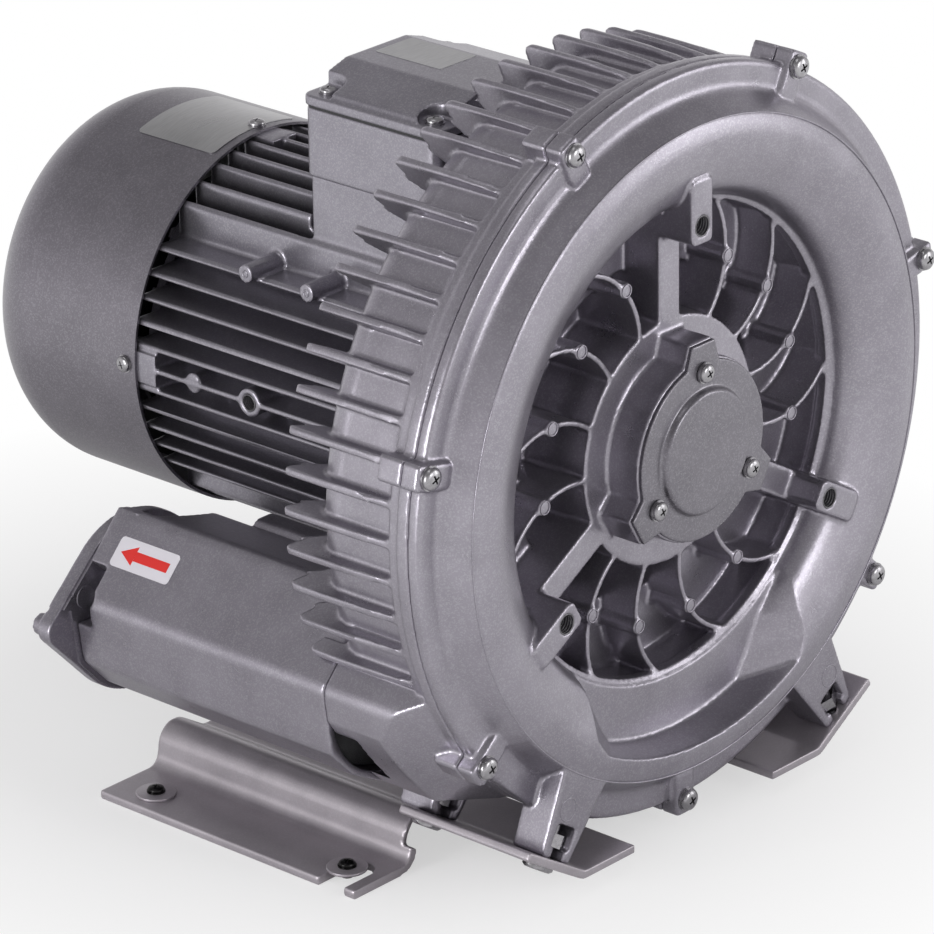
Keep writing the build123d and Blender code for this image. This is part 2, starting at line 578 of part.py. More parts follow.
def shaft_seal():
    """Labyrinth ring pressed into the rear wall, clear of the shaft all round."""
    bore = SHAFT_SEAL_R + SHAFT_RUN
    return turned((bore, REAR_WALL_Y), (SEAL_HOUSING_R, REAR_WALL_Y), (SEAL_HOUSING_R, REAR_WALL_Y + 8),
                  (bore, REAR_WALL_Y + 8), (bore, REAR_WALL_Y + 6), (bore + 2, REAR_WALL_Y + 5.5),
                  (bore + 2, REAR_WALL_Y + 2.5), (bore, REAR_WALL_Y + 2))


def cover_gasket():
    """Flat ring that seals the parting face, let into the cover's side of the channel."""
    return ring(CHANNEL_OUT_R + 8.5, CHANNEL_OUT_R + 4.5, -GASKET_T, 0)


GASKET_T = 1.6
FAN_SEAT_R = 11.0
FAN_FRONT_Y = 286.0
FAN_WIDTH = 34.0
REAR_JOURNAL_Y = REAR_BEARING["y"]


def motor_shaft():
    front = FRONT_BEARING
    back_of_front = front["y"] + front["width"]
    body = turned((0, front["y"] - 1), (front["bore_r"] - 1, front["y"] - 1), (front["bore_r"], front["y"]),
                  (front["bore_r"], SLEEVE_Y), (IMPELLER_SEAT_R, SLEEVE_Y),
                  (IMPELLER_SEAT_R, IMPELLER_DISC_Y + IMPELLER_DISC_T), (SHAFT_SEAL_R, IMPELLER_DISC_Y + IMPELLER_DISC_T),
                  (SHAFT_SEAL_R, CORE_FRONT_Y), (SHAFT_SEAL_R, CORE_FRONT_Y + CORE_LENGTH),
                  (REAR_BEARING["bore_r"] + 3, CORE_FRONT_Y + CORE_LENGTH), (REAR_BEARING["bore_r"] + 3, REAR_JOURNAL_Y),
                  (REAR_BEARING["bore_r"], REAR_JOURNAL_Y), (REAR_BEARING["bore_r"], REAR_JOURNAL_Y + REAR_BEARING["width"] + 2),
                  (FAN_SEAT_R, REAR_JOURNAL_Y + REAR_BEARING["width"] + 2), (FAN_SEAT_R, FAN_FRONT_Y + FAN_WIDTH + 6),
                  (0, FAN_FRONT_Y + FAN_WIDTH + 6))
    keyway = Pos(0, (IMPELLER_HUB_Y + IMPELLER_DISC_Y) / 2, IMPELLER_SEAT_R) * Box(
        KEY_WIDTH, IMPELLER_DISC_Y - IMPELLER_HUB_Y, KEY_HEIGHT)
    clip_groove = ring(FAN_SEAT_R + 1, FAN_SEAT_R - 1, FAN_FRONT_Y + FAN_WIDTH, FAN_FRONT_Y + FAN_WIDTH + CLIP_T)
    return body - keyway - clip_groove


KEY_HEIGHT = 7.0
CLIP_T = 1.6
SLEEVE_Y = IMPELLER_HUB_Y - 8.0


def impeller_sleeve():
    """Distance sleeve between the front bearing's inner race and the impeller hub."""
    start = FRONT_BEARING["y"] + FRONT_BEARING["width"]
    step = SLEEVE_Y - 1
    return turned((FRONT_BEARING["bore_r"], start), (FRONT_BEARING["bore_r"] + 4, start),
                  (FRONT_BEARING["bore_r"] + 4, step), (IMPELLER_SEAT_R + 7, step),
                  (IMPELLER_SEAT_R + 7, IMPELLER_HUB_Y), (IMPELLER_SEAT_R, IMPELLER_HUB_Y),
                  (IMPELLER_SEAT_R, SLEEVE_Y), (FRONT_BEARING["bore_r"], SLEEVE_Y))


def impeller_key():
    return Pos(0, (IMPELLER_HUB_Y + IMPELLER_DISC_Y) / 2, IMPELLER_SEAT_R) * Box(
        KEY_WIDTH, IMPELLER_DISC_Y - IMPELLER_HUB_Y, KEY_HEIGHT)


def impeller():
    """Dished wheel with a ring of blades whose pockets open to both halves of the side channel."""
    back = IMPELLER_FRONT_Y + IMPELLER_WIDTH
    middle = IMPELLER_FRONT_Y + IMPELLER_WIDTH / 2
    dish = turned((IMPELLER_SEAT_R, IMPELLER_HUB_Y), (IMPELLER_HUB_R, IMPELLER_HUB_Y), (IMPELLER_HUB_R + 2, IMPELLER_DISC_Y),
                  (RECESS_STEP_R + CASTING_WALL + 1.5, IMPELLER_DISC_Y),
                  (RECESS_STEP_R + CASTING_WALL + 3, RECESS_Y + CASTING_WALL + 3),
                  (IMPELLER_RING_R, RECESS_Y + CASTING_WALL + 3), (IMPELLER_RING_R, IMPELLER_FRONT_Y),
                  (IMPELLER_RING_R + 3, IMPELLER_FRONT_Y), (IMPELLER_RING_R + 12, middle - 4), (IMPELLER_OUT_R, middle - 1.5),
                  (IMPELLER_OUT_R, middle + 1.5), (IMPELLER_RING_R + 12, middle + 4), (IMPELLER_RING_R + 3, back),
                  (IMPELLER_RING_R, back), (IMPELLER_RING_R, RECESS_Y + CASTING_WALL + 7),
                  (RECESS_STEP_R + CASTING_WALL + 7, RECESS_Y + CASTING_WALL + 7),
                  (RECESS_STEP_R + CASTING_WALL + 5, IMPELLER_DISC_Y + IMPELLER_DISC_T),
                  (IMPELLER_SEAT_R, IMPELLER_DISC_Y + IMPELLER_DISC_T))
    blade = Pos((IMPELLER_RING_R + 1 + IMPELLER_OUT_R) / 2, middle, 0) * Box(
        IMPELLER_OUT_R - IMPELLER_RING_R - 1, IMPELLER_WIDTH, BLADE_T)
    blades = [round_shaft(k * 360 / IMPELLER_BLADES) * blade for k in range(IMPELLER_BLADES)]
    return dish + blades - impeller_key()


BLADE_T = 2.4


def rotor_core():
    """Laminated squirrel-cage core with its cast end rings."""
    end = CORE_FRONT_Y + CORE_LENGTH
    core = ring(ROTOR_R, SHAFT_SEAL_R, CORE_FRONT_Y, end)
    core += ring(ROTOR_R - 3, ROTOR_R - 14, CORE_FRONT_Y - CAGE_RING_T, CORE_FRONT_Y)
    return core + ring(ROTOR_R - 3, ROTOR_R - 14, end, end + CAGE_RING_T)


CAGE_RING_T = 10.0


def cooling_fan():
    """Plastic radial fan with straight blades on a back plate."""
    hub = ring(FAN_SEAT_R + 7, FAN_SEAT_R, FAN_FRONT_Y, FAN_FRONT_Y + FAN_WIDTH)
    plate = turned((FAN_SEAT_R + 6, FAN_FRONT_Y + 4), (FAN_OUT_R - 16, FAN_FRONT_Y), (FAN_OUT_R - 16, FAN_FRONT_Y + 3),
                   (FAN_SEAT_R + 6, FAN_FRONT_Y + 7))
    blade = make_face(Polyline((FAN_SEAT_R + 5, FAN_FRONT_Y + 5), (FAN_OUT_R - 17, FAN_FRONT_Y + 1), (FAN_OUT_R, FAN_FRONT_Y + 4),
                               (FAN_OUT_R, FAN_FRONT_Y + FAN_WIDTH - 4), (FAN_SEAT_R + 5, FAN_FRONT_Y + FAN_WIDTH - 8),
                               close=True))
    blades = [round_shaft(k * 360 / FAN_BLADES) * extrude(blade, 1.2, both=True) for k in range(FAN_BLADES)]
    return hub + plate + blades


FAN_OUT_R = 84.0
FAN_BLADES = 9


def fan_circlip():
    clip = ring(FAN_SEAT_R + 3.5, FAN_SEAT_R - 1, FAN_FRONT_Y + FAN_WIDTH, FAN_FRONT_Y + FAN_WIDTH + CLIP_T)
    return clip - Pos(FAN_SEAT_R, FAN_FRONT_Y + FAN_WIDTH, 0) * Box(12, 6, 5)


# ---------------------------------------------------------------- stator and motor casing
def stator_core():
    return ring(STATOR_R, ROTOR_R + AIR_GAP, CORE_FRONT_Y, CORE_FRONT_Y + CORE_LENGTH)


def stator_windings():
    """End turns of the coils, bulging out of both ends of the core."""
    coils = []
    for face, out in ((CORE_FRONT_Y, -1), (CORE_FRONT_Y + CORE_LENGTH, 1)):
        coils.append(turned((ROTOR_R + 4, face), (STATOR_R - 4, face), (STATOR_R - 3, face + out * 14),
                            (STATOR_R - 8, face + out * WINDING_L), (ROTOR_R + 8, face + out * WINDING_L),
                            (ROTOR_R + 4, face + out * 14)))
    return coils


WINDING_L = 22.0
MOTOR_FRONT_Y = REAR_WALL_Y + 8.0


def motor_fins():
    """Level fins on both flanks and upright fins above and below, all trimmed to one circle."""
    length = MOTOR_REAR_Y - MOTOR_FIN_START_Y
    fins = []
    for k in range(-5, 6):
        fins.append(Pos(0, MOTOR_FIN_START_Y + length / 2, k * MOTOR_SIDE_PITCH) * Box(
            2 * MOTOR_FIN_R, length, MOTOR_FIN_T))
    count = int(MOTOR_TOP_HALF // MOTOR_TOP_PITCH)
    for k in range(-count, count + 1):
        fins.append(Pos(k * MOTOR_TOP_PITCH * MOTOR_TOP_HALF / (count * MOTOR_TOP_PITCH), MOTOR_FIN_START_Y + length / 2, 0) * Box(
            MOTOR_FIN_T, length, 2 * MOTOR_FIN_R))
    return Part() + fins & rod(0, 0, MOTOR_FIN_R, MOTOR_FIN_START_Y, MOTOR_REAR_Y)


MOTOR_FIN_START_Y = REAR_FACE_Y + 6.0
PAD_HALF_WIDTH = 8.0
PAD_START_Y = 246.0
FIN_PIN_R = 4.6
SIDE_BOSS_R = 7.2
SIDE_BOSS_HOLE_R = 4.2
SIDE_BOSS_Y = 184.0
SIDE_BOSS_DEPTH = 16.0
FLANGE_PAD_R = 95.0


def cowl_pad():
    """A pad on the motor's rear end that one cowl screw goes into; it clears the end shield."""
    block = radial_block(2 * PAD_HALF_WIDTH, MOTOR_CORE_R - 4, COWL_IN_R + 1, PAD_START_Y, MOTOR_REAR_Y + 9)
    shape = ring(COWL_IN_R - 0.1, MOTOR_CORE_R - 3, PAD_START_Y, MOTOR_REAR_Y)
    return block & (shape + ring(COWL_IN_R - 0.1, SHIELD_R + 0.5, PAD_START_Y, MOTOR_REAR_Y + 9))


COWL_IN_R = COWL_R - COWL_SHEET


def motor_casing():
    """Finned tube with a mounting flange at the front and the terminal box's foot on top."""
    body = turned((SPIGOT_R, MOTOR_FRONT_Y), (FLANGE_PAD_R, MOTOR_FRONT_Y),
                  (FLANGE_PAD_R, MOTOR_FRONT_Y + 9), (MOTOR_CORE_R + 4, MOTOR_FRONT_Y + 12), (MOTOR_CORE_R, MOTOR_FRONT_Y + 20),
                  (MOTOR_CORE_R, MOTOR_REAR_Y), (MOTOR_BORE_R, MOTOR_REAR_Y), (MOTOR_BORE_R, CORE_FRONT_Y + CORE_LENGTH),
                  (STATOR_R, CORE_FRONT_Y + CORE_LENGTH), (STATOR_R, CORE_FRONT_Y), (MOTOR_BORE_R - 2, CORE_FRONT_Y),
                  (MOTOR_BORE_R - 2, MOTOR_FRONT_Y))
    body += motor_fins() - rod(0, 0, MOTOR_CORE_R - 2, MOTOR_FIN_START_Y - 1, MOTOR_REAR_Y + 1)
    body += [round_shaft(k * 90) * cowl_pad() for k in range(4)]
    body += [rod(*polar(SHIELD_BOLT_CIRCLE_R, angle), 2 * SHIELD_BOLT_R, MOTOR_REAR_Y - SHIELD_SCREW_L, MOTOR_REAR_Y)
             for angle in MOTOR_BOLT_ANGLES]
    box_x = BOX_WIDTH / 2 - 2.5
    pedestal = Pos(BOX_CENTRE_X, (BOX_FRONT_Y + BOX_REAR_Y) / 2, (MOTOR_CORE_R - 12 + BOX_PEDESTAL_TOP) / 2) * Box(
        2 * box_x, BOX_REAR_Y - BOX_FRONT_Y - 5, BOX_PEDESTAL_TOP - MOTOR_CORE_R + 12)
    body -= Pos(BOX_CENTRE_X, BOX_REAR_Y + FIN_GAP_Y / 2, MOTOR_FIN_R) * Box(BOX_WIDTH, FIN_GAP_Y, 2 * (MOTOR_FIN_R - MOTOR_CORE_R) - 4)
    body += pedestal - rod(0, 0, MOTOR_CORE_R - 2, BOX_FRONT_Y, BOX_REAR_Y)
    body -= Pos(BOX_CENTRE_X, (BOX_FRONT_Y + BOX_REAR_Y) / 2, BOX_PEDESTAL_TOP) * Box(40, 40, 2 * (BOX_PEDESTAL_TOP - STATOR_R) - 4)
    for y, z in LEDGE_PINS:
        body += Pos(-MOTOR_TOP_HALF, y, z) * Rot(0, -90, 0) * Cylinder(
            FIN_PIN_R, LEDGE_PIN_L, align=(Align.CENTER, Align.CENTER, Align.MIN))
        body += Pos(MOTOR_TOP_HALF, y, z) * Rot(0, 90, 0) * Cylinder(
            FIN_PIN_R, LEDGE_PIN_L, align=(Align.CENTER, Align.CENTER, Align.MIN))
    for side in (-1, 1):
        body += Pos(side * MOTOR_CORE_R * 0.95, SIDE_BOSS_Y, 0) * Rot(0, side * 90, 0) * Cylinder(
            SIDE_BOSS_R, SIDE_BOSS_OUT_X - MOTOR_CORE_R * 0.95, align=(Align.CENTER, Align.CENTER, Align.MIN))
        body += Pos(side * MOTOR_CORE_R * 0.95, SIDE_PIN_Y, 0) * Rot(0, side * 90, 0) * Cylinder(
            SIDE_BOSS_R - 2, SIDE_BOSS_OUT_X - 1 - MOTOR_CORE_R * 0.95, align=(Align.CENTER, Align.CENTER, Align.MIN))
        body -= Pos(side * (SIDE_BOSS_OUT_X - SIDE_BOSS_DEPTH), SIDE_BOSS_Y, 0) * Rot(0, side * 90, 0) * Cylinder(
            SIDE_BOSS_HOLE_R, SIDE_BOSS_DEPTH + 1, align=(Align.CENTER, Align.CENTER, Align.MIN))
    body -= [rod(*polar(MOTOR_BOLT_CIRCLE_R, angle), MOTOR_BOLT_R + SCREW_CLEARANCE, MOTOR_FRONT_Y - 1, MOTOR_FRONT_Y + 13)
             for angle in MOTOR_BOLT_ANGLES]
    body -= [motor_bolt_room(angle) for angle in MOTOR_BOLT_ANGLES]
    body -= [rod(*polar(SHIELD_BOLT_CIRCLE_R, angle), SHIELD_BOLT_R, MOTOR_REAR_Y - SHIELD_SCREW_L + 2, MOTOR_REAR_Y + 1)
             for angle in MOTOR_BOLT_ANGLES]
    body -= [round_shaft(k * 90) * cowl_screw_hole() for k in range(4)]
    return body


LEDGE_PINS = ((156.0, 59.5), (196.0, 59.5))
FIN_GAP_Y = 7.0                 # the upright fins stop short of the terminal box's foot
LEDGE_PIN_L = 24.0
SIDE_PIN_Y = 222.0
SIDE_BOSS_OUT_X = 94.5
MOTOR_BORE_R = STATOR_R + 1.0


def motor_bolt_room(angle):
    """The fins are cleared away round the head of each flange bolt."""
    return rod(*polar(MOTOR_BOLT_CIRCLE_R, angle), 9.5, MOTOR_FRONT_Y + 9, MOTOR_FRONT_Y + 30)


def cowl_screw_hole():
    return Pos(COWL_IN_R - 12, COWL_SCREW_Y, 0) * Rot(0, 90, 0) * Cylinder(
        COWL_SCREW_R, 20, align=(Align.CENTER, Align.CENTER, Align.MIN))


def rear_end_shield():
    """Cast plate that closes the motor and carries the rear bearing."""
    spec = REAR_BEARING
    plate = turned((spec["out_r"], spec["y"]), (spec["out_r"], spec["y"] + spec["width"]),
                   (spec["bore_r"] + 1.5, spec["y"] + spec["width"]), (spec["bore_r"] + 1.5, spec["y"] + spec["width"] + 4),
                   (spec["out_r"] + 8, spec["y"] + spec["width"] + 4), (spec["out_r"] + 10, MOTOR_REAR_Y + 6),
                   (SHIELD_R - 12, MOTOR_REAR_Y + 5), (SHIELD_R, MOTOR_REAR_Y + 5), (SHIELD_R, MOTOR_REAR_Y), (MOTOR_BORE_R, MOTOR_REAR_Y),
                   (MOTOR_BORE_R, MOTOR_REAR_Y - 4), (MOTOR_BORE_R - 4, MOTOR_REAR_Y - 4), (MOTOR_BORE_R - 5, MOTOR_REAR_Y),
                   (spec["out_r"] + 8, MOTOR_REAR_Y), (spec["out_r"] + 6, spec["y"]))
    ribs = [round_shaft(k * 45 + 22.5) * radial_block(3, spec["out_r"] + 6, SHIELD_R - 3, MOTOR_REAR_Y + 4, MOTOR_REAR_Y + 10)
            for k in range(8)]
    tabs = [round_shaft(angle) * radial_block(14, SHIELD_R - 4, SHIELD_BOLT_CIRCLE_R + 5.5, MOTOR_REAR_Y, MOTOR_REAR_Y + 5)
            for angle in MOTOR_BOLT_ANGLES]
    holes = [rod(*polar(SHIELD_BOLT_CIRCLE_R, angle), SHIELD_BOLT_R + SCREW_CLEARANCE, MOTOR_REAR_Y - 1, MOTOR_REAR_Y + 12)
             for angle in MOTOR_BOLT_ANGLES]
    return plate + ribs + tabs - holes


SHIELD_R = 78.0
SHIELD_BOLT_CIRCLE_R = 76.0
SHIELD_BOLT_R = 2.5
SHIELD_SCREW_L = 16.0


def fan_cowl():
    """Deep-drawn sheet cowl with a rounded rear edge and rings of slots for the cooling air."""
    out = COWL_R
    end_r = COWL_END_R
    inside = out - COWL_SHEET
    belly = (out + end_r) / 2 + COWL_BELLY
    belly_y = (COWL_BEND_Y + COWL_END_Y) / 2 + COWL_BELLY
    outline = [Polyline((inside, COWL_BEND_Y), (inside, COWL_FRONT_Y), (out, COWL_FRONT_Y), (out, COWL_BEND_Y)),
               ThreePointArc((out, COWL_BEND_Y), (belly, belly_y), (end_r, COWL_END_Y)),
               Polyline((end_r, COWL_END_Y), (0, COWL_END_Y), (0, COWL_END_Y - COWL_SHEET), (end_r - 1, COWL_END_Y - COWL_SHEET)),
               ThreePointArc((end_r - 1, COWL_END_Y - COWL_SHEET), (belly - 1, belly_y - 1), (inside, COWL_BEND_Y))]
    skin = revolve(make_face(outline), Axis.Y)
    slots = []
    for r in GRILLE_RADII:
        for k in range(GRILLE_SLOTS):
            arc = CenterArc((0, 0), r, k * 360 / GRILLE_SLOTS + GRILLE_BRIDGE / 2, 360 / GRILLE_SLOTS - GRILLE_BRIDGE)
            slots.append(along_y(trace(arc, GRILLE_SLOT_W), COWL_END_Y - 4, COWL_END_Y + 1))
    holes = [round_shaft(k * 90) * (Pos(out, COWL_SCREW_Y, 0) * Rot(0, 90, 0) * Cylinder(COWL_SCREW_R + 0.2, 8))
             for k in range(4)]
    return skin - slots - holes


COWL_BELLY = 2.6                # how far the rear edge bulges past a straight cone
GRILLE_RADII = (22.0, 33.0, 44.0, 55.0, 66.0)
GRILLE_SLOTS = 6
GRILLE_BRIDGE = 12.0
GRILLE_SLOT_W = 6.0


def cowl_screws():
    screw = Pos(COWL_R, COWL_SCREW_Y, 0) * Rot(0, 0, 90) * pan_screw(COWL_SCREW_R, 12, 4.6, 3)
    return [round_shaft(k * 90) * screw for k in range(4)]


# ---------------------------------------------------------------- terminal box
BOX_MIDDLE_Y = (BOX_FRONT_Y + BOX_REAR_Y) / 2
BOX_DEPTH = BOX_REAR_Y - BOX_FRONT_Y
BOX_GASKET_T = 1.2
BOX_SCREW_INSET = 9.0
BOX_SCREW_R = 2.5
BOX_CORNER_R = 6.0
GLAND_PITCH = 34.0
GLAND_PLUG_R = 15.0
LID_SCOOP_R = 8.0               # hollow round each screw at the lid's corners
LID_CAVITY_INSET = BOX_SCREW_INSET + LID_SCOOP_R + 3.0
TERMINAL_BLOCK_W = 56.0


def box_plan(grow, z0, z1, corner=BOX_CORNER_R):
    outline = RectangleRounded(BOX_WIDTH + 2 * grow, BOX_DEPTH + 2 * grow, corner)
    return extrude(Plane.XY.offset(z0) * Pos(BOX_CENTRE_X, BOX_MIDDLE_Y) * outline, z1 - z0)


def box_screw_places():
    return [(BOX_CENTRE_X + sx * (BOX_WIDTH / 2 - BOX_SCREW_INSET), BOX_MIDDLE_Y + sy * (BOX_DEPTH / 2 - BOX_SCREW_INSET))
            for sx in (-1, 1) for sy in (-1, 1)]


def upright(x, y, r, z0, z1):
    return extrude(Plane.XY.offset(z0) * Pos(x, y) * Circle(r), z1 - z0)


def gland_places():
    middle_z = (BOX_PEDESTAL_TOP + BOX_RIM) / 2 + 1
    return [(BOX_CENTRE_X + BOX_WIDTH / 2, BOX_MIDDLE_Y + side * GLAND_PITCH / 2, middle_z) for side in (-1, 1)]


def terminal_box():
    body = box_plan(0, BOX_PEDESTAL_TOP, BOX_RIM) - box_plan(-BOX_WALL, BOX_PEDESTAL_TOP + BOX_WALL, BOX_RIM + 1, 4)
    body += [upright(x, y, 5.5, BOX_PEDESTAL_TOP + 1, BOX_RIM) for x, y in box_screw_places()]
    body -= [upright(x, y, BOX_SCREW_R, BOX_RIM - 16, BOX_RIM + 1) for x, y in box_screw_places()]
    body -= upright(BOX_CENTRE_X, BOX_MIDDLE_Y, 16, BOX_PEDESTAL_TOP - 1, BOX_PEDESTAL_TOP + BOX_WALL + 1)
    for place in gland_places():
        body -= Pos(*place) * Rot(0, 90, 0) * Cylinder(GLAND_R, 3 * BOX_WALL)
    return body


def box_gasket():
    frame = box_plan(-0.5, BOX_RIM, BOX_RIM + BOX_GASKET_T, 5.5) - box_plan(-BOX_WALL, BOX_RIM - 1, BOX_RIM + 3, 4)
    frame += [upright(x, y, 5.5, BOX_RIM, BOX_RIM + BOX_GASKET_T) for x, y in box_screw_places()]
    return frame - [upright(x, y, BOX_SCREW_R + SCREW_CLEARANCE, BOX_RIM - 1, BOX_RIM + 3) for x, y in box_screw_places()]


def box_lid():
    """Crowned cast lid: a flat rim with its corners left open for the screws, and a cambered roof."""
    base = BOX_RIM + BOX_GASKET_T
    top = base + BOX_LID_T
    half = BOX_WIDTH / 2
    roof_line = [(-half + 1, top - 1), (-half + 3, top + 3), (-half + 30, top + BOX_CROWN), (half - 30, top + BOX_CROWN),
                 (half - 3, top + 3), (half - 1, top - 1)]
    roof = along_y(make_face(Polyline(*[(BOX_CENTRE_X + x, z) for x, z in roof_line], close=True)),
                   BOX_FRONT_Y + 1, BOX_REAR_Y - 1)
    for x, y in box_screw_places():
        roof -= upright(x, y, LID_SCOOP_R, top, top + 20)
        roof -= Pos(x + math.copysign(LID_SCOOP_R, x - BOX_CENTRE_X), y, top + 10) * Box(2 * LID_SCOOP_R, 2 * LID_SCOOP_R, 20)
        roof -= Pos(x, y + math.copysign(LID_SCOOP_R, y - BOX_MIDDLE_Y), top + 10) * Box(2 * LID_SCOOP_R, 2 * LID_SCOOP_R, 20)
    lid = box_plan(0.6, base, top) + roof
    lid -= box_plan(-LID_CAVITY_INSET, base - 1, top + BOX_CROWN - 6, 4)
    return lid - [upright(x, y, BOX_SCREW_R + SCREW_CLEARANCE, base - 1, top + 1) for x, y in box_screw_places()]


def box_lid_screws():
    top = BOX_RIM + BOX_GASKET_T + BOX_LID_T
    return [Pos(x, y, top) * Rot(-90, 0, 0) * pan_screw(BOX_SCREW_R, 18, 4.8, 3.2) for x, y in box_screw_places()]


def terminal_block():
    """Moulded block with six clamp studs, standing on the floor of the box."""
    floor = BOX_PEDESTAL_TOP + BOX_WALL
    block = Pos(BOX_CENTRE_X, BOX_MIDDLE_Y + 20, floor + 5) * Box(TERMINAL_BLOCK_W, 16, 10)
    for k in range(6):
        block += upright(BOX_CENTRE_X - 22.5 + 9 * k, BOX_MIDDLE_Y + 20, 2.5, floor + 9, floor + 18)
    return block


def gland_plugs():
    plugs = []
    for x, y, z in gland_places():
        stem = Pos(x - BOX_WALL, y, z) * Rot(0, 90, 0) * Cylinder(GLAND_R, BOX_WALL, align=(Align.CENTER, Align.CENTER, Align.MIN))
        cap = Pos(x, y, z) * Rot(0, 90, 0) * extrude(RegularPolygon(GLAND_PLUG_R, 6), 5)
        plugs.append(stem + cap)
    return plugs


# ---------------------------------------------------------------- silencers
EAR_WIDTH = 18.0
EAR_IN_R = 30.0
EAR_T = 4.0
PORT_GASKET_T = 1.5
FOAM_GAP = 0.5
TUBE_T = 1.5
TUBE_IN_R = PORT_BORE_R - 1.4
SILENCER_COLUMN_END_Y = SILENCER_END_Y - 14.0
BOLT_HEAD_ROOM_R = 6.2          # spot face for the bolts down to the housing


def port_bolt_places(x):
    side = 1 if x > 0 else -1
    return [(x + side * dx, PORT_Z + dz) for dx, dz in (polar(PORT_BOLT_CIRCLE_R, a) for a in PORT_BOLT_ANGLES)]


def port_ears(y0, y1):
    """The two ears round the +X port that its flange bolts pass through."""
    ears = []
    reach = PORT_BOLT_CIRCLE_R + EAR_WIDTH / 2 - EAR_IN_R
    for angle in PORT_BOLT_ANGLES:
        ear = Pos(EAR_IN_R + reach / 2, 0) * RectangleRounded(reach, EAR_WIDTH, EAR_WIDTH / 2 - 0.5)
        ears.append(along_y(Pos(PORT_X, PORT_Z) * Rot(0, 0, angle) * ear, y0, y1))
    return ears


def inner_slope():
    """What is taken off the silencer's inner top: a face that turns down as it runs back."""
    far = -2 * SILENCER_BORE_R
    ridge = SILENCER_SHAPE[0][1] * SILENCER_BORE_R + 1
    start = [(14, ridge + 1), (far, ridge + 8), (far, ridge + 4)]
    end = [(14, ridge + 1), (far, ridge + 8), (far, ridge - 65)]
    faces = []
    for corners, y in ((start, SLOPE_START_Y), (end, SLOPE_END_Y)):
        face = make_face(Polyline(*[(PORT_X + x, PORT_Z + z) for x, z in corners], close=True))
        faces.append(Plane.XZ.offset(-y) * face)
    return loft(faces, ruled=True) + extrude(faces[1], SLOPE_END_Y - SILENCER_END_Y - 1)


def silencer_notch():
    """The outer corner is cut back behind the bolt head of the port flange."""
    corners = [(NOTCH_START_X, SILENCER_END_Y), (NOTCH_FULL_X, NOTCH_Y), (2 * SILENCER_BORE_R, NOTCH_Y),
               (2 * SILENCER_BORE_R, SILENCER_END_Y + 1), (NOTCH_START_X, SILENCER_END_Y + 1)]
    plan = make_face(Polyline(*[(PORT_X + x, y) for x, y in corners], close=True))
    return extrude(Plane.XY.offset(PORT_Z + NOTCH_FLOOR_Z) * plan, 2 * SILENCER_BORE_R)


def silencer():
    """Cast silencer body on the +X side, open at both ends."""
    shoulder = Pos(PORT_X - 0.9 * SILENCER_BORE_R, PORT_Z + 0.55 * SILENCER_BORE_R)
    body = along_y(silencer_outline(), REAR_FACE_Y, SILENCER_END_Y)
    body += along_y(shoulder * RectangleRounded(0.45 * SILENCER_BORE_R, SILENCER_BORE_R, 6), REAR_FACE_Y, SHOULDER_END_Y)
    body -= inner_slope()
    body -= silencer_notch()
    body += port_ears(SILENCER_END_Y - EAR_T, SILENCER_END_Y)
    bore = rod(PORT_X, PORT_Z, SILENCER_BORE_R, REAR_FACE_Y - 1, SILENCER_BORE_END_Y)
    body -= bore - silencer_columns(PORT_X, REAR_FACE_Y - 2, SILENCER_END_Y)
    body -= rod(PORT_X, PORT_Z, SILENCER_REAR_BORE_R, REAR_FACE_Y - 1, SILENCER_END_Y + 1)
    body -= [rod(*place, SILENCER_BOLT_R + SCREW_CLEARANCE, REAR_FACE_Y - 1, SILENCER_END_Y) for place in column_places(PORT_X)]
    body -= [rod(*place, BOLT_HEAD_ROOM_R, SILENCER_COLUMN_END_Y, SILENCER_END_Y + 1) for place in column_places(PORT_X)]
    return body - [rod(*place, PORT_BOLT_R + SCREW_CLEARANCE, NOTCH_Y, SILENCER_END_Y + 1)
                   for place in port_bolt_places(PORT_X)] - port_head_rooms()


def port_head_rooms():
    """Room in front of each ear for the bolt head."""
    return [rod(*place, BOLT_HEAD_ROOM_R, SILENCER_END_Y - EAR_T - 8, SILENCER_END_Y - EAR_T)
            for place in port_bolt_places(PORT_X)]


def port_plan(y0, y1):
    return along_y(offset(silencer_outline(), PORT_FLANGE_GROW), y0, y1) - inner_slope_behind(y0, y1) + port_ears(y0, y1)


def inner_slope_behind(y0, y1):
    """The port flange follows the silencer's sloping inner top."""
    far = -2 * SILENCER_BORE_R
    ridge = SILENCER_SHAPE[0][1] * SILENCER_BORE_R + 1 + PORT_FLANGE_GROW
    corners = [(14, ridge + 1), (far, ridge + 8), (far, ridge - 65)]
    return along_y(make_face(Polyline(*[(PORT_X + x, PORT_Z + z) for x, z in corners], close=True)), y0, y1)


def port_gasket():
    start = SILENCER_END_Y
    body = port_plan(start, start + PORT_GASKET_T)
    body -= rod(PORT_X, PORT_Z, SILENCER_REAR_BORE_R + 0.5, start - 1, start + 3)
    return body - [rod(*place, PORT_BOLT_R + SCREW_CLEARANCE, start - 1, start + 3) for place in port_bolt_places(PORT_X)]


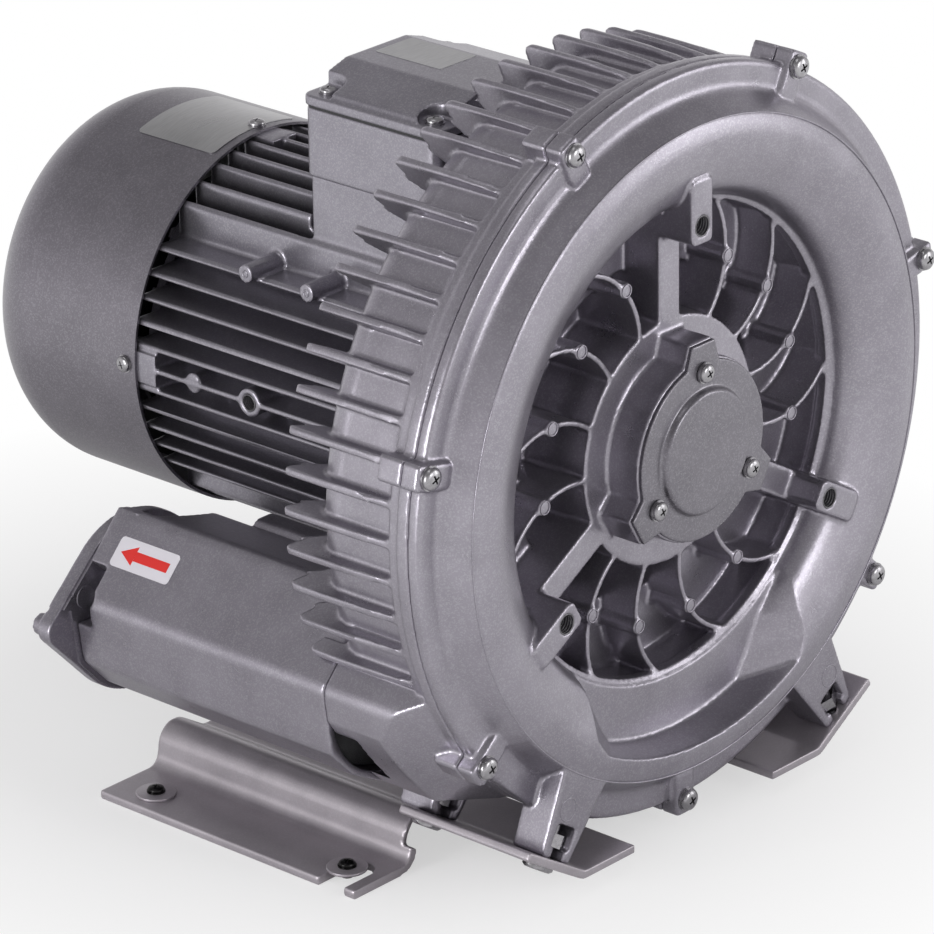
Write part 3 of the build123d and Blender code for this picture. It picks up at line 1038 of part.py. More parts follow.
def port_flange():
    """Rear flange with the threaded port for the pipe; its outer ear carries a blind boss."""
    start = SILENCER_END_Y + PORT_GASKET_T
    body = port_plan(start, start + PORT_FLANGE_T)
    body += rod(PORT_X, PORT_Z, PORT_BORE_R + PORT_NECK_T, start, PORT_NECK_END_Y)
    body += rod(PORT_X, PORT_Z, SILENCER_REAR_BORE_R - 0.1, start - PORT_SPIGOT_L, start)
    arm = Pos(PORT_X + GAUGE_BOSS_X / 2 + 10, PORT_Z) * Rectangle(GAUGE_BOSS_X - 20, 2 * GAUGE_BOSS_R)
    body += along_y(arm, start, start + PORT_FLANGE_T)
    body += rod(PORT_X + GAUGE_BOSS_X, PORT_Z, GAUGE_BOSS_R, start, start + PORT_FLANGE_T)
    body += rod(PORT_X + GAUGE_BOSS_X, PORT_Z, GAUGE_BOSS_R - 2, start, start + GAUGE_BOSS_L)
    body -= [rod(*place, PORT_BOLT_R, start - 1, start + PORT_FLANGE_T - 1) for place in port_bolt_places(PORT_X)]
    return body - rod(PORT_X, PORT_Z, PORT_BORE_R, start - PORT_SPIGOT_L - 1, PORT_NECK_END_Y + 1)


def sound_tube():
    """Perforated tube that runs through the silencer up to the port flange."""
    end = SILENCER_END_Y + PORT_GASKET_T - PORT_SPIGOT_L
    body = ring_at_port(TUBE_IN_R + TUBE_T, TUBE_IN_R, REAR_FACE_Y, end)
    for row in range(TUBE_HOLE_ROWS):
        y = REAR_FACE_Y + 34 + row * 28
        for turn in (0, 90):
            drill = Cylinder(5, 3 * TUBE_IN_R)
            body -= Pos(PORT_X, y, PORT_Z) * Rot(0, turn + 45 * (row % 2), 0) * drill
    return body


def ring_at_port(out_r, in_r, y0, y1):
    return rod(PORT_X, PORT_Z, out_r, y0, y1) - rod(PORT_X, PORT_Z, in_r, y0 - 1, y1 + 1)


TUBE_HOLE_ROWS = 4


def foam_sleeve():
    start = REAR_FACE_Y + 8
    body = ring_at_port(SILENCER_BORE_R - FOAM_GAP, TUBE_IN_R + TUBE_T + FOAM_GAP, start, SILENCER_BORE_END_Y)
    return body - [rod(*place, COLUMN_R + FOAM_GAP, start - 1, SILENCER_BORE_END_Y + 1) for place in column_places(PORT_X)]


def silencer_bolts():
    bolts = []
    for x in (PORT_X, -PORT_X):
        for px, pz in column_places(x):
            length = SILENCER_COLUMN_END_Y - REAR_FACE_Y + 11
            bolts.append(Pos(px, SILENCER_COLUMN_END_Y, pz) * Rot(180, 0, 0) * hex_bolt(SILENCER_BOLT_R, length, 10, 4))
    return bolts


def port_bolts():
    """Bolts put in from the front of each ear and screwed into the port flange."""
    seat = SILENCER_END_Y - EAR_T
    shank = EAR_T + PORT_GASKET_T + PORT_FLANGE_T - 2
    return [Pos(px, seat, pz) * hex_bolt(PORT_BOLT_R, shank, 10, 4)
            for x in (PORT_X, -PORT_X) for px, pz in port_bolt_places(x)]


# ---------------------------------------------------------------- foot brackets
def seat_height(x):
    """Height of the middle of the sloped seat sheet, x from the centre, above the floor."""
    lean = math.radians(LEG_LEAN)
    along = x * math.sin(lean) - LEG_SEAT_R - FOOT_T / 2
    return SHAFT_HEIGHT + along / math.cos(lean)


def foot_bracket():
    """Pressed sheet bracket on the +X side: floor flange, riser, sloped seat and inner flange."""
    floor = -SHAFT_HEIGHT
    inner_z = seat_height(FOOT_INNER_BEND_X)
    inner = [(FOOT_INNER_BEND_X, floor + inner_z), (FOOT_INNER_X, floor + inner_z)]
    riser_top = FOOT_RISER_X - 4.5
    rear_path = FilletPolyline((FOOT_FLOOR_OUT_X, floor + FOOT_T / 2), (FOOT_RISER_X, floor + FOOT_T / 2),
                               (riser_top, floor + seat_height(riser_top)), *inner, radius=FOOT_BEND_R)
    front_path = FilletPolyline((FOOT_SEAT_OUT_X, floor + seat_height(FOOT_SEAT_OUT_X)), *inner, radius=FOOT_BEND_R)
    body = along_y(trace(rear_path, FOOT_T), FOOT_STEP_Y, FOOT_REAR_Y)
    body += along_y(trace(front_path, FOOT_T), FOOT_FRONT_Y, FOOT_STEP_Y)
    body -= Pos(FOOT_HOLE_X, REAR_HOLES_BEHIND_SEAM, floor) * Cylinder(FOOT_HOLE_R, 4 * FOOT_T)
    front_y = REAR_HOLES_BEHIND_SEAM - FOOT_HOLES_APART_Y
    body -= Pos(FOOT_HOLE_X - 4, front_y, floor) * Cylinder(FOOT_SLOT_HALF_WIDTH, 4 * FOOT_T)
    body -= Pos(FOOT_HOLE_X + 11, front_y, floor) * Box(30, 2 * FOOT_SLOT_HALF_WIDTH, 4 * FOOT_T)
    for y0 in (COVER_LEG_Y, REAR_LEG_Y):
        hole = Pos(LEG_SEAT_R, y0 + LEG_BOLT_DEPTH, 0) * Rot(0, 90, 0) * Cylinder(LEG_BOLT_R + 0.5, 5 * FOOT_T)
        body -= round_shaft(-90 + LEG_LEAN) * hole
        head_room = Pos(LEG_SEAT_R + FOOT_T + 7, y0 + LEG_BOLT_DEPTH, 0) * Rot(0, 90, 0) * Cylinder(8.5, 14)
        body -= round_shaft(-90 + LEG_LEAN) * head_room
    return body


def leg_bolt_row(piece):
    return [round_shaft(angle) * Pos(0, y0 + LEG_BOLT_DEPTH, 0) * piece
            for angle in leg_angles() for y0 in (COVER_LEG_Y, REAR_LEG_Y)]


def leg_bolts():
    bolt = Pos(LEG_SEAT_R + FOOT_T, 0, 0) * Rot(0, 0, 90) * hex_bolt(LEG_BOLT_R, FOOT_T + LEG_SLOT_LIP + 9, 13, 5.3)
    return leg_bolt_row(bolt)


def leg_nuts():
    nut = Rot(0, 90, 0) * extrude(Plane.XY.offset(LEG_SEAT_R - LEG_SLOT_LIP - 6.5) * Rot(0, 0, 90) *
                                  RegularPolygon(6.5, 6, major_radius=False), 6.5)
    nut -= Pos(LEG_SEAT_R - 10, 0, 0) * Rot(0, 90, 0) * Cylinder(LEG_BOLT_R, 30)
    return leg_bolt_row(nut)


# ---------------------------------------------------------------- screws of the casing and motor
def lug_screws():
    return [Pos(*xz(polar(LUG_CIRCLE_R, angle), -LUG_FRONT)) * pan_screw(LUG_SCREW_R, LUG_FRONT + LUG_BACK - 1, 6, 4.2)
            for angle in lug_angles()]


def xz(point, y):
    return (point[0], y, point[1])


def cap_screws():
    seat = HUB_FRONT_Y - CAP_T
    return [Pos(*xz(polar(CAP_SCREW_CIRCLE_R, angle), seat)) * pan_screw(CAP_SCREW_R, 15, 5.2, 3.6)
            for angle in BOSS_ANGLES]


def motor_bolts():
    seat = MOTOR_FRONT_Y + 9
    return [Pos(*xz(polar(MOTOR_BOLT_CIRCLE_R, angle), seat)) * Rot(180, 0, 0) * hex_bolt(MOTOR_BOLT_R, 15.5, 13, 5.3)
            for angle in MOTOR_BOLT_ANGLES]


def shield_screws():
    seat = MOTOR_REAR_Y + 5
    return [Pos(*xz(polar(SHIELD_BOLT_CIRCLE_R, angle), seat)) * Rot(180, 0, 0) * hex_bolt(SHIELD_BOLT_R, SHIELD_SCREW_L, 8, 3.5)
            for angle in MOTOR_BOLT_ANGLES]


# ---------------------------------------------------------------- write every node
def main():
    os.makedirs("parts", exist_ok=True)
    save("blower_cover", blower_cover())
    save("blower_housing", blower_housing())
    save("cover_gasket", cover_gasket())
    save("lug_screws", *lug_screws())
    save("bearing_cap", bearing_cap())
    save("cap_screws", *cap_screws())
    save("wave_spring", wave_spring())
    for name, spec in (("front", FRONT_BEARING), ("rear", REAR_BEARING)):
        inner, outer, balls = bearing_parts(spec)
        save(f"{name}_bearing_inner_race", inner)
        save(f"{name}_bearing_outer_race", outer)
        save(f"{name}_bearing_balls", *balls)
    save("motor_shaft", motor_shaft())
    save("impeller", impeller())
    save("impeller_key", impeller_key())
    save("impeller_sleeve", impeller_sleeve())
    save("shaft_seal", shaft_seal())
    save("rotor_core", rotor_core())
    save("cooling_fan", cooling_fan())
    save("fan_circlip", fan_circlip())
    save("stator_core", stator_core())
    save("stator_windings", *stator_windings())
    save("motor_casing", motor_casing())
    save("motor_bolts", *motor_bolts())
    save("rear_end_shield", rear_end_shield())
    save("shield_screws", *shield_screws())
    save("fan_cowl", fan_cowl())
    save("cowl_screws", *cowl_screws())
    save("terminal_box", terminal_box())
    save("terminal_box_gasket", box_gasket())
    save("terminal_box_lid", box_lid())
    save("lid_screws", *box_lid_screws())
    save("terminal_block", terminal_block())
    save("cable_plugs", *gland_plugs())
    for name, piece in (("silencer", silencer()), ("port_gasket", port_gasket()), ("port_flange", port_flange()),
                        ("sound_tube", sound_tube()), ("foam_sleeve", foam_sleeve()), ("foot_bracket", foot_bracket())):
        right, left = both_sides(piece)
        save(f"{name}_left", left)
        save(f"{name}_right", right)
    save("silencer_bolts", *silencer_bolts())
    save("port_bolts", *port_bolts())
    save("leg_bolts", *leg_bolts())
    save("leg_nuts", *leg_nuts())


if __name__ == "__main__":
    main()
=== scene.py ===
import math
import bmesh
import bpy
from mathutils import Matrix, Vector


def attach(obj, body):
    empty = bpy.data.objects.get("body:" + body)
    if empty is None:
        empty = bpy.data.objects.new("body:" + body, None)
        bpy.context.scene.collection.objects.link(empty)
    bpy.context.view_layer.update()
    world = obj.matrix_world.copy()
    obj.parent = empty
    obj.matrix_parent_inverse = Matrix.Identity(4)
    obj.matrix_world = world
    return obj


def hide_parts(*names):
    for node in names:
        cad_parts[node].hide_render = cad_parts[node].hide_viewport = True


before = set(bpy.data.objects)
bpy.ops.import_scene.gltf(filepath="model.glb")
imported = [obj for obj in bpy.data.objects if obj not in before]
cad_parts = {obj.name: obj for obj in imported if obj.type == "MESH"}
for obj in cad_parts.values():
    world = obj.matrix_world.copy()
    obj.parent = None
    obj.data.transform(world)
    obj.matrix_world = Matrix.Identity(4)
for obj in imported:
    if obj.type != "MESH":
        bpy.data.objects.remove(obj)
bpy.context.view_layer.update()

# ------------------------------------------------------------------ blower housing
# The rear half of the blower casing is a sand-cast aluminium drum with cooling fins all round,
# a flat parting flange with seven screw lugs, two port stubs and two feet. It is sprayed with a
# fine-grained silver-grey metallic paint that stays a little rough from the mould beneath.


class Signal:
    """A value that varies over a surface: a shader socket that arithmetic can be written with."""

    def __init__(self, finish, socket):
        self.finish = finish
        self.socket = socket

    def maths(self, operation, first, second):
        return self.finish.node("ShaderNodeMath", {"operation": operation}, {0: first, 1: second})

    def __add__(self, other):
        return self.maths("ADD", self, other)

    def __sub__(self, other):
        return self.maths("SUBTRACT", self, other)

    def __rsub__(self, other):
        return self.maths("SUBTRACT", other, self)

    def __mul__(self, other):
        return self.maths("MULTIPLY", self, other)

    __radd__ = __add__
    __rmul__ = __mul__

    def ramp(self, low, high, start=0.0, end=1.0):
        limits = {"From Min": low, "From Max": high, "To Min": start, "To Max": end}
        return self.finish.node("ShaderNodeMapRange", {"clamp": True}, {"Value": self, **limits})


class Finish:
    """One paint, metal, rubber or plastic: a Principled surface and the nodes that vary it."""

    def __init__(self, name, colour, metallic, roughness):
        self.material = bpy.data.materials.new(name)
        self.material.use_nodes = True
        self.tree = self.material.node_tree
        self.surface = self.tree.nodes["Principled BSDF"].inputs
        self.surface["Base Color"].default_value = (*colour, 1)
        self.surface["Metallic"].default_value = metallic
        self.surface["Roughness"].default_value = roughness
        self.place = self.node("ShaderNodeTexCoord", output="Object")

    def feed(self, socket, value):
        if isinstance(value, Signal):
            self.tree.links.new(value.socket, socket)
        else:
            socket.default_value = value

    def node(self, kind, settings=None, values=None, output=0):
        made = self.tree.nodes.new(kind)
        for key, value in (settings or {}).items():
            setattr(made, key, value)
        for key, value in (values or {}).items():
            self.feed(made.inputs[key], value)
        return Signal(self, made.outputs[output])

    def noise(self, scale, detail=2.0, stretch=None):
        place = self.place
        if stretch:
            place = self.node("ShaderNodeMapping", None, {"Vector": place, "Scale": stretch})
        return self.node("ShaderNodeTexNoise", None, {"Vector": place, "Scale": scale, "Detail": detail})

    def grains(self, scale):
        """A random number in each small cell, one for each flake or grain."""
        cell = self.node("ShaderNodeTexVoronoi", None, {"Vector": self.place, "Scale": scale}, output="Color")
        return self.node("ShaderNodeSeparateColor", None, {0: cell}, output="Red")

    def mix(self, share, first, second):
        return self.node("ShaderNodeMix", {"data_type": "RGBA"}, {0: share, 6: first, 7: second}, output=2)

    def relief(self, height, depth):
        bump = self.node("ShaderNodeBump", None, {"Height": height, "Distance": depth, "Strength": 1.0})
        self.feed(self.surface["Normal"], bump)


CLOUDS_PER_METRE = 7
PATCHES_PER_METRE = 60
FLAKES_PER_METRE = 1600
FLAKE_COLOUR = (0.80, 0.80, 0.83, 1)
SKIN_PER_METRE = (700, 2200)
SKIN_DEPTH = 0.00006


def metallic_paint(name, dark, light, flake=0.16, grain=1.0, shine=0.31, metal=0.82):
    """Silver-grey paint: slow changes of tone, fine bright flakes and the skin of a casting."""
    paint = Finish(name, light, metal, shine)
    cloud = paint.noise(CLOUDS_PER_METRE, 3)
    patch = paint.noise(PATCHES_PER_METRE, 3)
    tone = cloud.ramp(0.35, 0.65) * 0.55 + patch.ramp(0.3, 0.7) * 0.45
    body = paint.mix(tone, (*dark, 1), (*light, 1))
    sparkle = paint.grains(FLAKES_PER_METRE).ramp(0.55, 1.0) * flake
    paint.feed(paint.surface["Base Color"], paint.mix(sparkle, body, FLAKE_COLOUR))
    paint.feed(paint.surface["Roughness"], patch * 0.10 - sparkle * 0.15 + (shine - 0.05))
    coarse, fine = SKIN_PER_METRE
    paint.relief(paint.noise(coarse, 2) * 0.6 + paint.noise(fine, 1) * 0.4, SKIN_DEPTH * grain)
    return paint.material
def dress(material, *nodes):
    """Give a CAD node that is shown as it is its finish."""
    for node in nodes:
        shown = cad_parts[node]
        shown.data.materials.clear()
        shown.data.materials.append(material)
        for face in shown.data.polygons:
            face.material_index = 0


def only(piece):
    """Select this piece alone, so that the next operator works on it and nothing else."""
    bpy.ops.object.select_all(action="DESELECT")
    piece.select_set(True)
    bpy.context.view_layer.objects.active = piece


def modified(piece, kind, **settings):
    only(piece)
    step = piece.modifiers.new(kind.title(), kind)
    for key, value in settings.items():
        setattr(step, key, value)
    bpy.ops.object.modifier_apply(modifier=step.name)


def finished(piece, name, material, slot, *nodes, body="blower"):
    """Name a piece, give it its finish and hang it on its body, in place of the nodes it stands for."""
    piece.name = name
    piece.data.name = name
    if not piece.data.materials:
        piece.data.materials.append(material)
    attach(piece, body)
    if nodes:
        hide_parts(*nodes)
    return piece


WELD_GAP = 0.00001


def merged_copy(node):
    """A copy of a node's mesh whose loose triangles are joined along their edges."""
    piece = bpy.data.objects.new(node + "_cast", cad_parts[node].data.copy())
    bpy.context.scene.collection.objects.link(piece)
    piece.data.materials.clear()
    only(piece)
    bpy.ops.object.mode_set(mode="EDIT")
    bpy.ops.mesh.select_all(action="SELECT")
    bpy.ops.mesh.remove_doubles(threshold=WELD_GAP)
    bpy.ops.object.mode_set(mode="OBJECT")
    return piece
def casting(node, slot, material, voxel=0.0011, most=150000, rounds=3, shaped=()):
    """The cast piece of a node with the small fillets that a mould leaves along every edge.

    The shapes are first joined to it or cut from it. Then it is rebuilt from small cubes, voxel metres
    wide, smoothed a few rounds and thinned to most triangles.
    """
    piece = merged_copy(node)
    for shape, operation in shaped:
        modified(piece, "BOOLEAN", object=shape, operation=operation, solver="EXACT")
    modified(piece, "REMESH", mode="VOXEL", voxel_size=voxel)
    modified(piece, "SMOOTH", factor=0.5, iterations=rounds)
    triangles = 2 * len(piece.data.polygons)
    if triangles > most:
        modified(piece, "DECIMATE", ratio=most / triangles)
    only(piece)
    bpy.ops.object.shade_smooth()
    modified(piece, "WEIGHTED_NORMAL", weight=60)
    return finished(piece, node + "_cast", material, slot, node)


cast_paint = metallic_paint("cast_silver_paint", (0.278, 0.262, 0.299), (0.365, 0.345, 0.392))
casting("blower_housing", "cast_aluminium", cast_paint, most=190000)

# ------------------------------------------------------------------ blower cover
# The front half is cast from the same aluminium: the bulge of the side channel, the deep ribbed
# recess round the bearing and three tapped blocks. The two mould halves meet in a fine line that
# runs round the crest of the bulge, and the pins that push the casting out leave round marks.
casting("blower_cover", "cast_aluminium", cast_paint, most=190000)
SHAFT_HEIGHT = 200.0
PARTING_FACE_Y = -205.0


def spot(x, y, z):
    """A place given in millimetres from the shaft axis at the parting face, in the frame's metres."""
    return Vector((x, y + PARTING_FACE_Y, z + SHAFT_HEIGHT)) / 1000


def round_place(radius, angle, y):
    """A place round the shaft, its angle counted from the right hand side as the cover is looked at."""
    turn = math.radians(angle)
    return spot(radius * math.cos(turn), y, radius * math.sin(turn))


def placed(master, seat, toward):
    """A copy of a master piece, moved in its mesh so that its top looks the way it is told."""
    piece = master.copy()
    piece.data = master.data.copy()
    bpy.context.scene.collection.objects.link(piece)
    turn = Vector(toward).normalized().to_track_quat("Z", "Y").to_matrix().to_4x4()
    piece.data.transform(Matrix.Translation(seat) @ turn)
    return piece


def joined(pieces):
    """The pieces as one, in the first one's place."""
    bpy.ops.object.select_all(action="DESELECT")
    for piece in pieces:
        piece.select_set(True)
    bpy.context.view_layer.objects.active = pieces[0]
    bpy.ops.object.join()
    return pieces[0]


def bead(radius, thickness, rounds=96):
    """A thin raised ring, lying flat at the origin."""
    bpy.ops.mesh.primitive_torus_add(major_radius=radius, minor_radius=thickness, major_segments=rounds,
                                     minor_segments=8, location=(0, 0, 0))
    ring = bpy.context.object
    only(ring)
    bpy.ops.object.shade_smooth()
    return ring


def rings(ring, seats, name, material, slot):
    """One piece made of a copy of the ring at each seat."""
    finished(joined([placed(ring, seat, toward) for seat, toward in seats]), name, material, slot)
    bpy.data.objects.remove(ring)


def thread(radius, thickness, rounds, turns, pitch):
    """The crests of a tapped thread, as level rings below each other."""
    crest = bead(radius, thickness, rounds)
    modified(crest, "ARRAY", count=turns, use_relative_offset=False, use_constant_offset=True,
             constant_offset_displace=(0, 0, -pitch))
    return crest


FRONT = (0, -1, 0)
SIDES = (-1, 1)
CREST_R = 162.0
CREST_Y = -19.9
parting = bead(CREST_R / 1000, 0.00045, 256)
finished(placed(parting, spot(0, CREST_Y, 0), FRONT), "cover_parting_line", cast_paint, "cast_aluminium")
bpy.data.objects.remove(parting)

PIN_CIRCLE_R = 91
PIN_TOP_Y = -1.2
PIN_ANGLES = [15 + 24 * k for k in range(15) if k not in (3, 8, 13)]
pin_seats = [(round_place(PIN_CIRCLE_R, angle, PIN_TOP_Y), FRONT) for angle in PIN_ANGLES]
rings(bead(0.0031, 0.0004, 32), pin_seats, "cover_pin_rims", cast_paint, "cast_aluminium")

LEG_MARK_X = 97.6
LEG_MARK_Y = -19.95
LEG_MARK_Z = -150.5
mark_seats = [(spot(side * LEG_MARK_X, LEG_MARK_Y, LEG_MARK_Z), FRONT) for side in SIDES]
rings(bead(0.0056, 0.0003, 48), mark_seats, "leg_ejector_marks", cast_paint, "cast_aluminium")

BOSS_CIRCLE_R = 112
BOSS_THREAD_Y = -19.0
BOSS_ANGLES = (90, -30, -150)
# The thread crests in the tapped bores get a near-black metal, darker than bare tapped aluminium: this is
# painted shade of the deep bore, laid on real thread geometry.
BORE_SHADE_DARK = (0.07, 0.068, 0.072, 1)
BORE_SHADE_LIGHT = (0.24, 0.235, 0.25, 1)
boss_thread = thread(0.0049, 0.00048, 40, 9, 0.0015)
shaded_bore = Finish("tapped_aluminium_painted_shade", (0.16, 0.155, 0.165), 0.9, 0.35)
shaded_bore.feed(shaded_bore.surface["Roughness"], shaded_bore.noise(900).ramp(0.3, 0.7, 0.25, 0.5))
shaded_bore.feed(shaded_bore.surface["Base Color"], shaded_bore.mix(shaded_bore.noise(300), BORE_SHADE_DARK, BORE_SHADE_LIGHT))
boss_seats = [(round_place(BOSS_CIRCLE_R, angle, BOSS_THREAD_Y), FRONT) for angle in BOSS_ANGLES]
rings(boss_thread, boss_seats, "boss_threads", shaded_bore.material, "cast_aluminium")
# ------------------------------------------------------------------ lug screws
# Seven zinc-plated pan-head screws with a cross recess and a captive washer draw the cover onto
# the housing. Cold-headed steel, so the head is a smooth low dome with a soft edge.


def steel(name, dark, light, rough, grain=500, stretch=None):
    """Plated or bare steel: bright metal with faint streaks, handling marks and uneven polish."""
    metal = Finish(name, light, 1.0, rough)
    streak = metal.noise(grain, 3, stretch)
    smear = metal.noise(grain / 6, 2)
    metal.feed(metal.surface["Base Color"],
               metal.mix(streak.ramp(0.3, 0.7) * 0.5 + smear.ramp(0.3, 0.7) * 0.5, (*dark, 1), (*light, 1)))
    metal.feed(metal.surface["Roughness"], smear.ramp(0.3, 0.7, rough - 0.07, rough + 0.10))
    metal.relief(streak, 0.00003)
    return metal.material


def faces_where(piece, test):
    """Go into edit mode with just the faces selected whose centre and normal pass the test."""
    only(piece)
    bpy.ops.object.mode_set(mode="EDIT")
    bpy.ops.mesh.select_mode(type="FACE")
    bpy.ops.mesh.select_all(action="DESELECT")
    mesh = bmesh.from_edit_mesh(piece.data)
    for face in mesh.faces:
        face.select_set(test(face.calc_center_median(), face.normal))
    bmesh.update_edit_mesh(piece.data)


def grown(rise, spread):
    """Extrude the selected faces upwards and draw them in or out."""
    bpy.ops.mesh.extrude_region_move(TRANSFORM_OT_translate={"value": (0, 0, rise)})
    bpy.ops.transform.resize(value=(spread, spread, 1))


HEAD_STEPS = ((0, 0.92), (0.30, 1.03), (0.22, 0.91), (0.16, 0.78), (0.10, 0.45))
RECESS_TURN = 0.4
SHARP_ANGLE = math.radians(38)


def smooth_between_edges(piece):
    only(piece)
    bpy.ops.object.shade_smooth_by_angle(angle=SHARP_ANGLE)


def shank_of(radius, length):
    """The shank below a head that stands on z = 0."""
    bpy.ops.mesh.primitive_cylinder_add(vertices=24, radius=radius, depth=length,
                                        location=(0, 0, 0.0001 - length / 2))
    return bpy.context.object


def pan_screw(radius, height, shank, length, sides=36):
    """A domed head with a cross recess over its washer, standing on z = 0, and the shank below."""
    washer = 0.22 * height
    bpy.ops.mesh.primitive_cylinder_add(vertices=sides, radius=radius, depth=washer,
                                        location=(0, 0, washer / 2))
    screw = bpy.context.object
    faces_where(screw, lambda centre, normal: normal.z > 0.9)
    bpy.ops.mesh.inset(thickness=0.04 * radius)
    for rise, spread in HEAD_STEPS:
        grown(rise * height, spread)
    bpy.ops.mesh.select_all(action="SELECT")
    bpy.ops.mesh.normals_make_consistent(inside=False)
    bpy.ops.object.mode_set(mode="OBJECT")
    for quarter in (0, math.pi / 2):
        bpy.ops.mesh.primitive_cube_add(size=1, location=(0, 0, 0.86 * height),
                                        rotation=(0, 0, quarter + RECESS_TURN),
                                        scale=(0.20 * radius, 1.02 * radius, 0.78 * height))
        cutter = bpy.context.object
        faces_where(cutter, lambda centre, normal: normal.z < -0.9)
        bpy.ops.transform.resize(value=(0.5, 0.5, 1))
        bpy.ops.object.mode_set(mode="OBJECT")
        modified(screw, "BOOLEAN", object=cutter, operation="DIFFERENCE", solver="EXACT")
        bpy.data.objects.remove(cutter)
    screw = joined([screw, shank_of(shank, length)])
    smooth_between_edges(screw)
    return screw
def fitted(master, name, places, material, slot, node):
    """One copy of the master at each place, together standing for the node that holds them all."""
    pieces = [placed(master, seat, toward) for seat, toward in places]
    for number, piece in enumerate(pieces, 1):
        finished(piece, f"{name}_{number}", material, slot, *([node] if node else []))
    bpy.data.objects.remove(master)


zinc = steel("zinc_plated_steel", (0.26, 0.255, 0.265), (0.48, 0.47, 0.49), 0.24)
LUG_COUNT = 7
LUG_SCREW_R = 184.4
LUG_SCREW_Y = -10.9
lug_seats = [(round_place(LUG_SCREW_R, -90 + 360 / 7 * k, LUG_SCREW_Y), FRONT) for k in range(LUG_COUNT)]
fitted(pan_screw(0.0060, 0.0042, 0.003, 0.0233), "lug_screw", lug_seats, zinc, "zinc_steel", "lug_screws")
# ------------------------------------------------------------------ bearing cap
# A pressed aluminium cap with a raised disc closes the front bearing. Three pan-head screws hold
# its lobes on the hub.
CAP_DARK = (0.175, 0.166, 0.187)
CAP_LIGHT = (0.225, 0.214, 0.240)
CAP_INSET = 0.0005
CAP_SCREW_R = 39.2
CAP_SCREW_Y = -21.3
cap_paint = metallic_paint("cap_silver_paint", CAP_DARK, CAP_LIGHT, flake=0.12, grain=0.5, shine=0.30)
cap = casting("bearing_cap", "cap_metal", cap_paint, voxel=0.0006, most=60000, rounds=2)
cap.data.transform(Matrix.Translation((0, CAP_INSET, 0)))
cap_seats = [(round_place(CAP_SCREW_R, angle, CAP_SCREW_Y), FRONT) for angle in BOSS_ANGLES]
fitted(pan_screw(0.0052, 0.0036, 0.0025, 0.0148), "cap_screw", cap_seats, zinc, "zinc_steel", "cap_screws")
# ------------------------------------------------------------------ sealing and bearings
# Between the castings lies a flat rubber gasket, and the shaft runs in two ground ball bearings,
# the front one pushed by a wave spring. A labyrinth ring of plastic closes the rear wall.


def moulded(name, dark, light, rough, grain=160, depth=0.00008):
    """Rubber, plastic or foam: dull, faintly mottled, with the texture of its mould or cells."""
    skin = Finish(name, light, 0.0, rough)
    mottle = skin.noise(grain / 4, 3)
    skin.feed(skin.surface["Base Color"], skin.mix(mottle.ramp(0.3, 0.7), (*dark, 1), (*light, 1)))
    skin.feed(skin.surface["Roughness"], mottle.ramp(0.3, 0.7, rough - 0.08, min(rough + 0.08, 1.0)))
    skin.relief(skin.noise(grain * 6, 2), depth)
    return skin.material


rubber = moulded("gasket_rubber", (0.015, 0.015, 0.016), (0.035, 0.035, 0.037), 0.6)
dress(rubber, "cover_gasket", "terminal_box_gasket")
race = steel("bearing_steel", (0.46, 0.46, 0.47), (0.72, 0.72, 0.73), 0.16, grain=900)
dress(race, "front_bearing_inner_race", "front_bearing_outer_race", "front_bearing_balls",
      "rear_bearing_inner_race", "rear_bearing_outer_race", "rear_bearing_balls")
spring = steel("oiled_steel", (0.10, 0.10, 0.105), (0.24, 0.24, 0.25), 0.35)
dress(spring, "wave_spring", "motor_shaft", "impeller_key", "fan_circlip", "impeller_sleeve")
ring_plastic = moulded("black_plastic", (0.012, 0.012, 0.013), (0.04, 0.04, 0.042), 0.42)
dress(ring_plastic, "shaft_seal", "cooling_fan")

# ------------------------------------------------------------------ impeller, rotor and stator
# The impeller is machined from an unpainted aluminium casting. The rotor and stator are stacks of
# blued electrical sheet, and the end turns of the coils are varnished copper wire.
impeller_metal = steel("bare_cast_aluminium", (0.38, 0.385, 0.39), (0.62, 0.625, 0.63), 0.38, grain=240)
dress(impeller_metal, "impeller")
lamination = steel("blued_sheet", (0.06, 0.065, 0.075), (0.17, 0.18, 0.20), 0.42, grain=60,
                   stretch=(1, 30, 1))
dress(lamination, "rotor_core", "stator_core")
varnish = steel("varnished_copper", (0.22, 0.06, 0.02), (0.48, 0.17, 0.06), 0.33, grain=90,
                stretch=(6, 1, 6))
dress(varnish, "stator_windings")

# ------------------------------------------------------------------ motor casing
# The finned motor tube is a die casting in the same silver paint, a shade cooler, with level fins
# on its flanks, upright ones above, four round pins on the ledge and a tapped boss on each side.
MOTOR_DARK = (0.250, 0.238, 0.272)
MOTOR_LIGHT = (0.325, 0.310, 0.352)
motor_paint = metallic_paint("motor_silver_paint", MOTOR_DARK, MOTOR_LIGHT, grain=0.6, shine=0.32)
casting("motor_casing", "motor_aluminium", motor_paint, voxel=0.0010, most=195000, rounds=2)
dress(motor_paint, "rear_end_shield")

DIMPLE_X = 82.0
DIMPLE_ROWS_Y = (156, 196)
DIMPLE_Z = 59.5
dimple_seats = [(spot(side * DIMPLE_X, y, DIMPLE_Z), (side, 0, 0)) for side in SIDES for y in DIMPLE_ROWS_Y]
rings(bead(0.0016, 0.0005, 24), dimple_seats, "pin_dimples", motor_paint, "motor_aluminium")

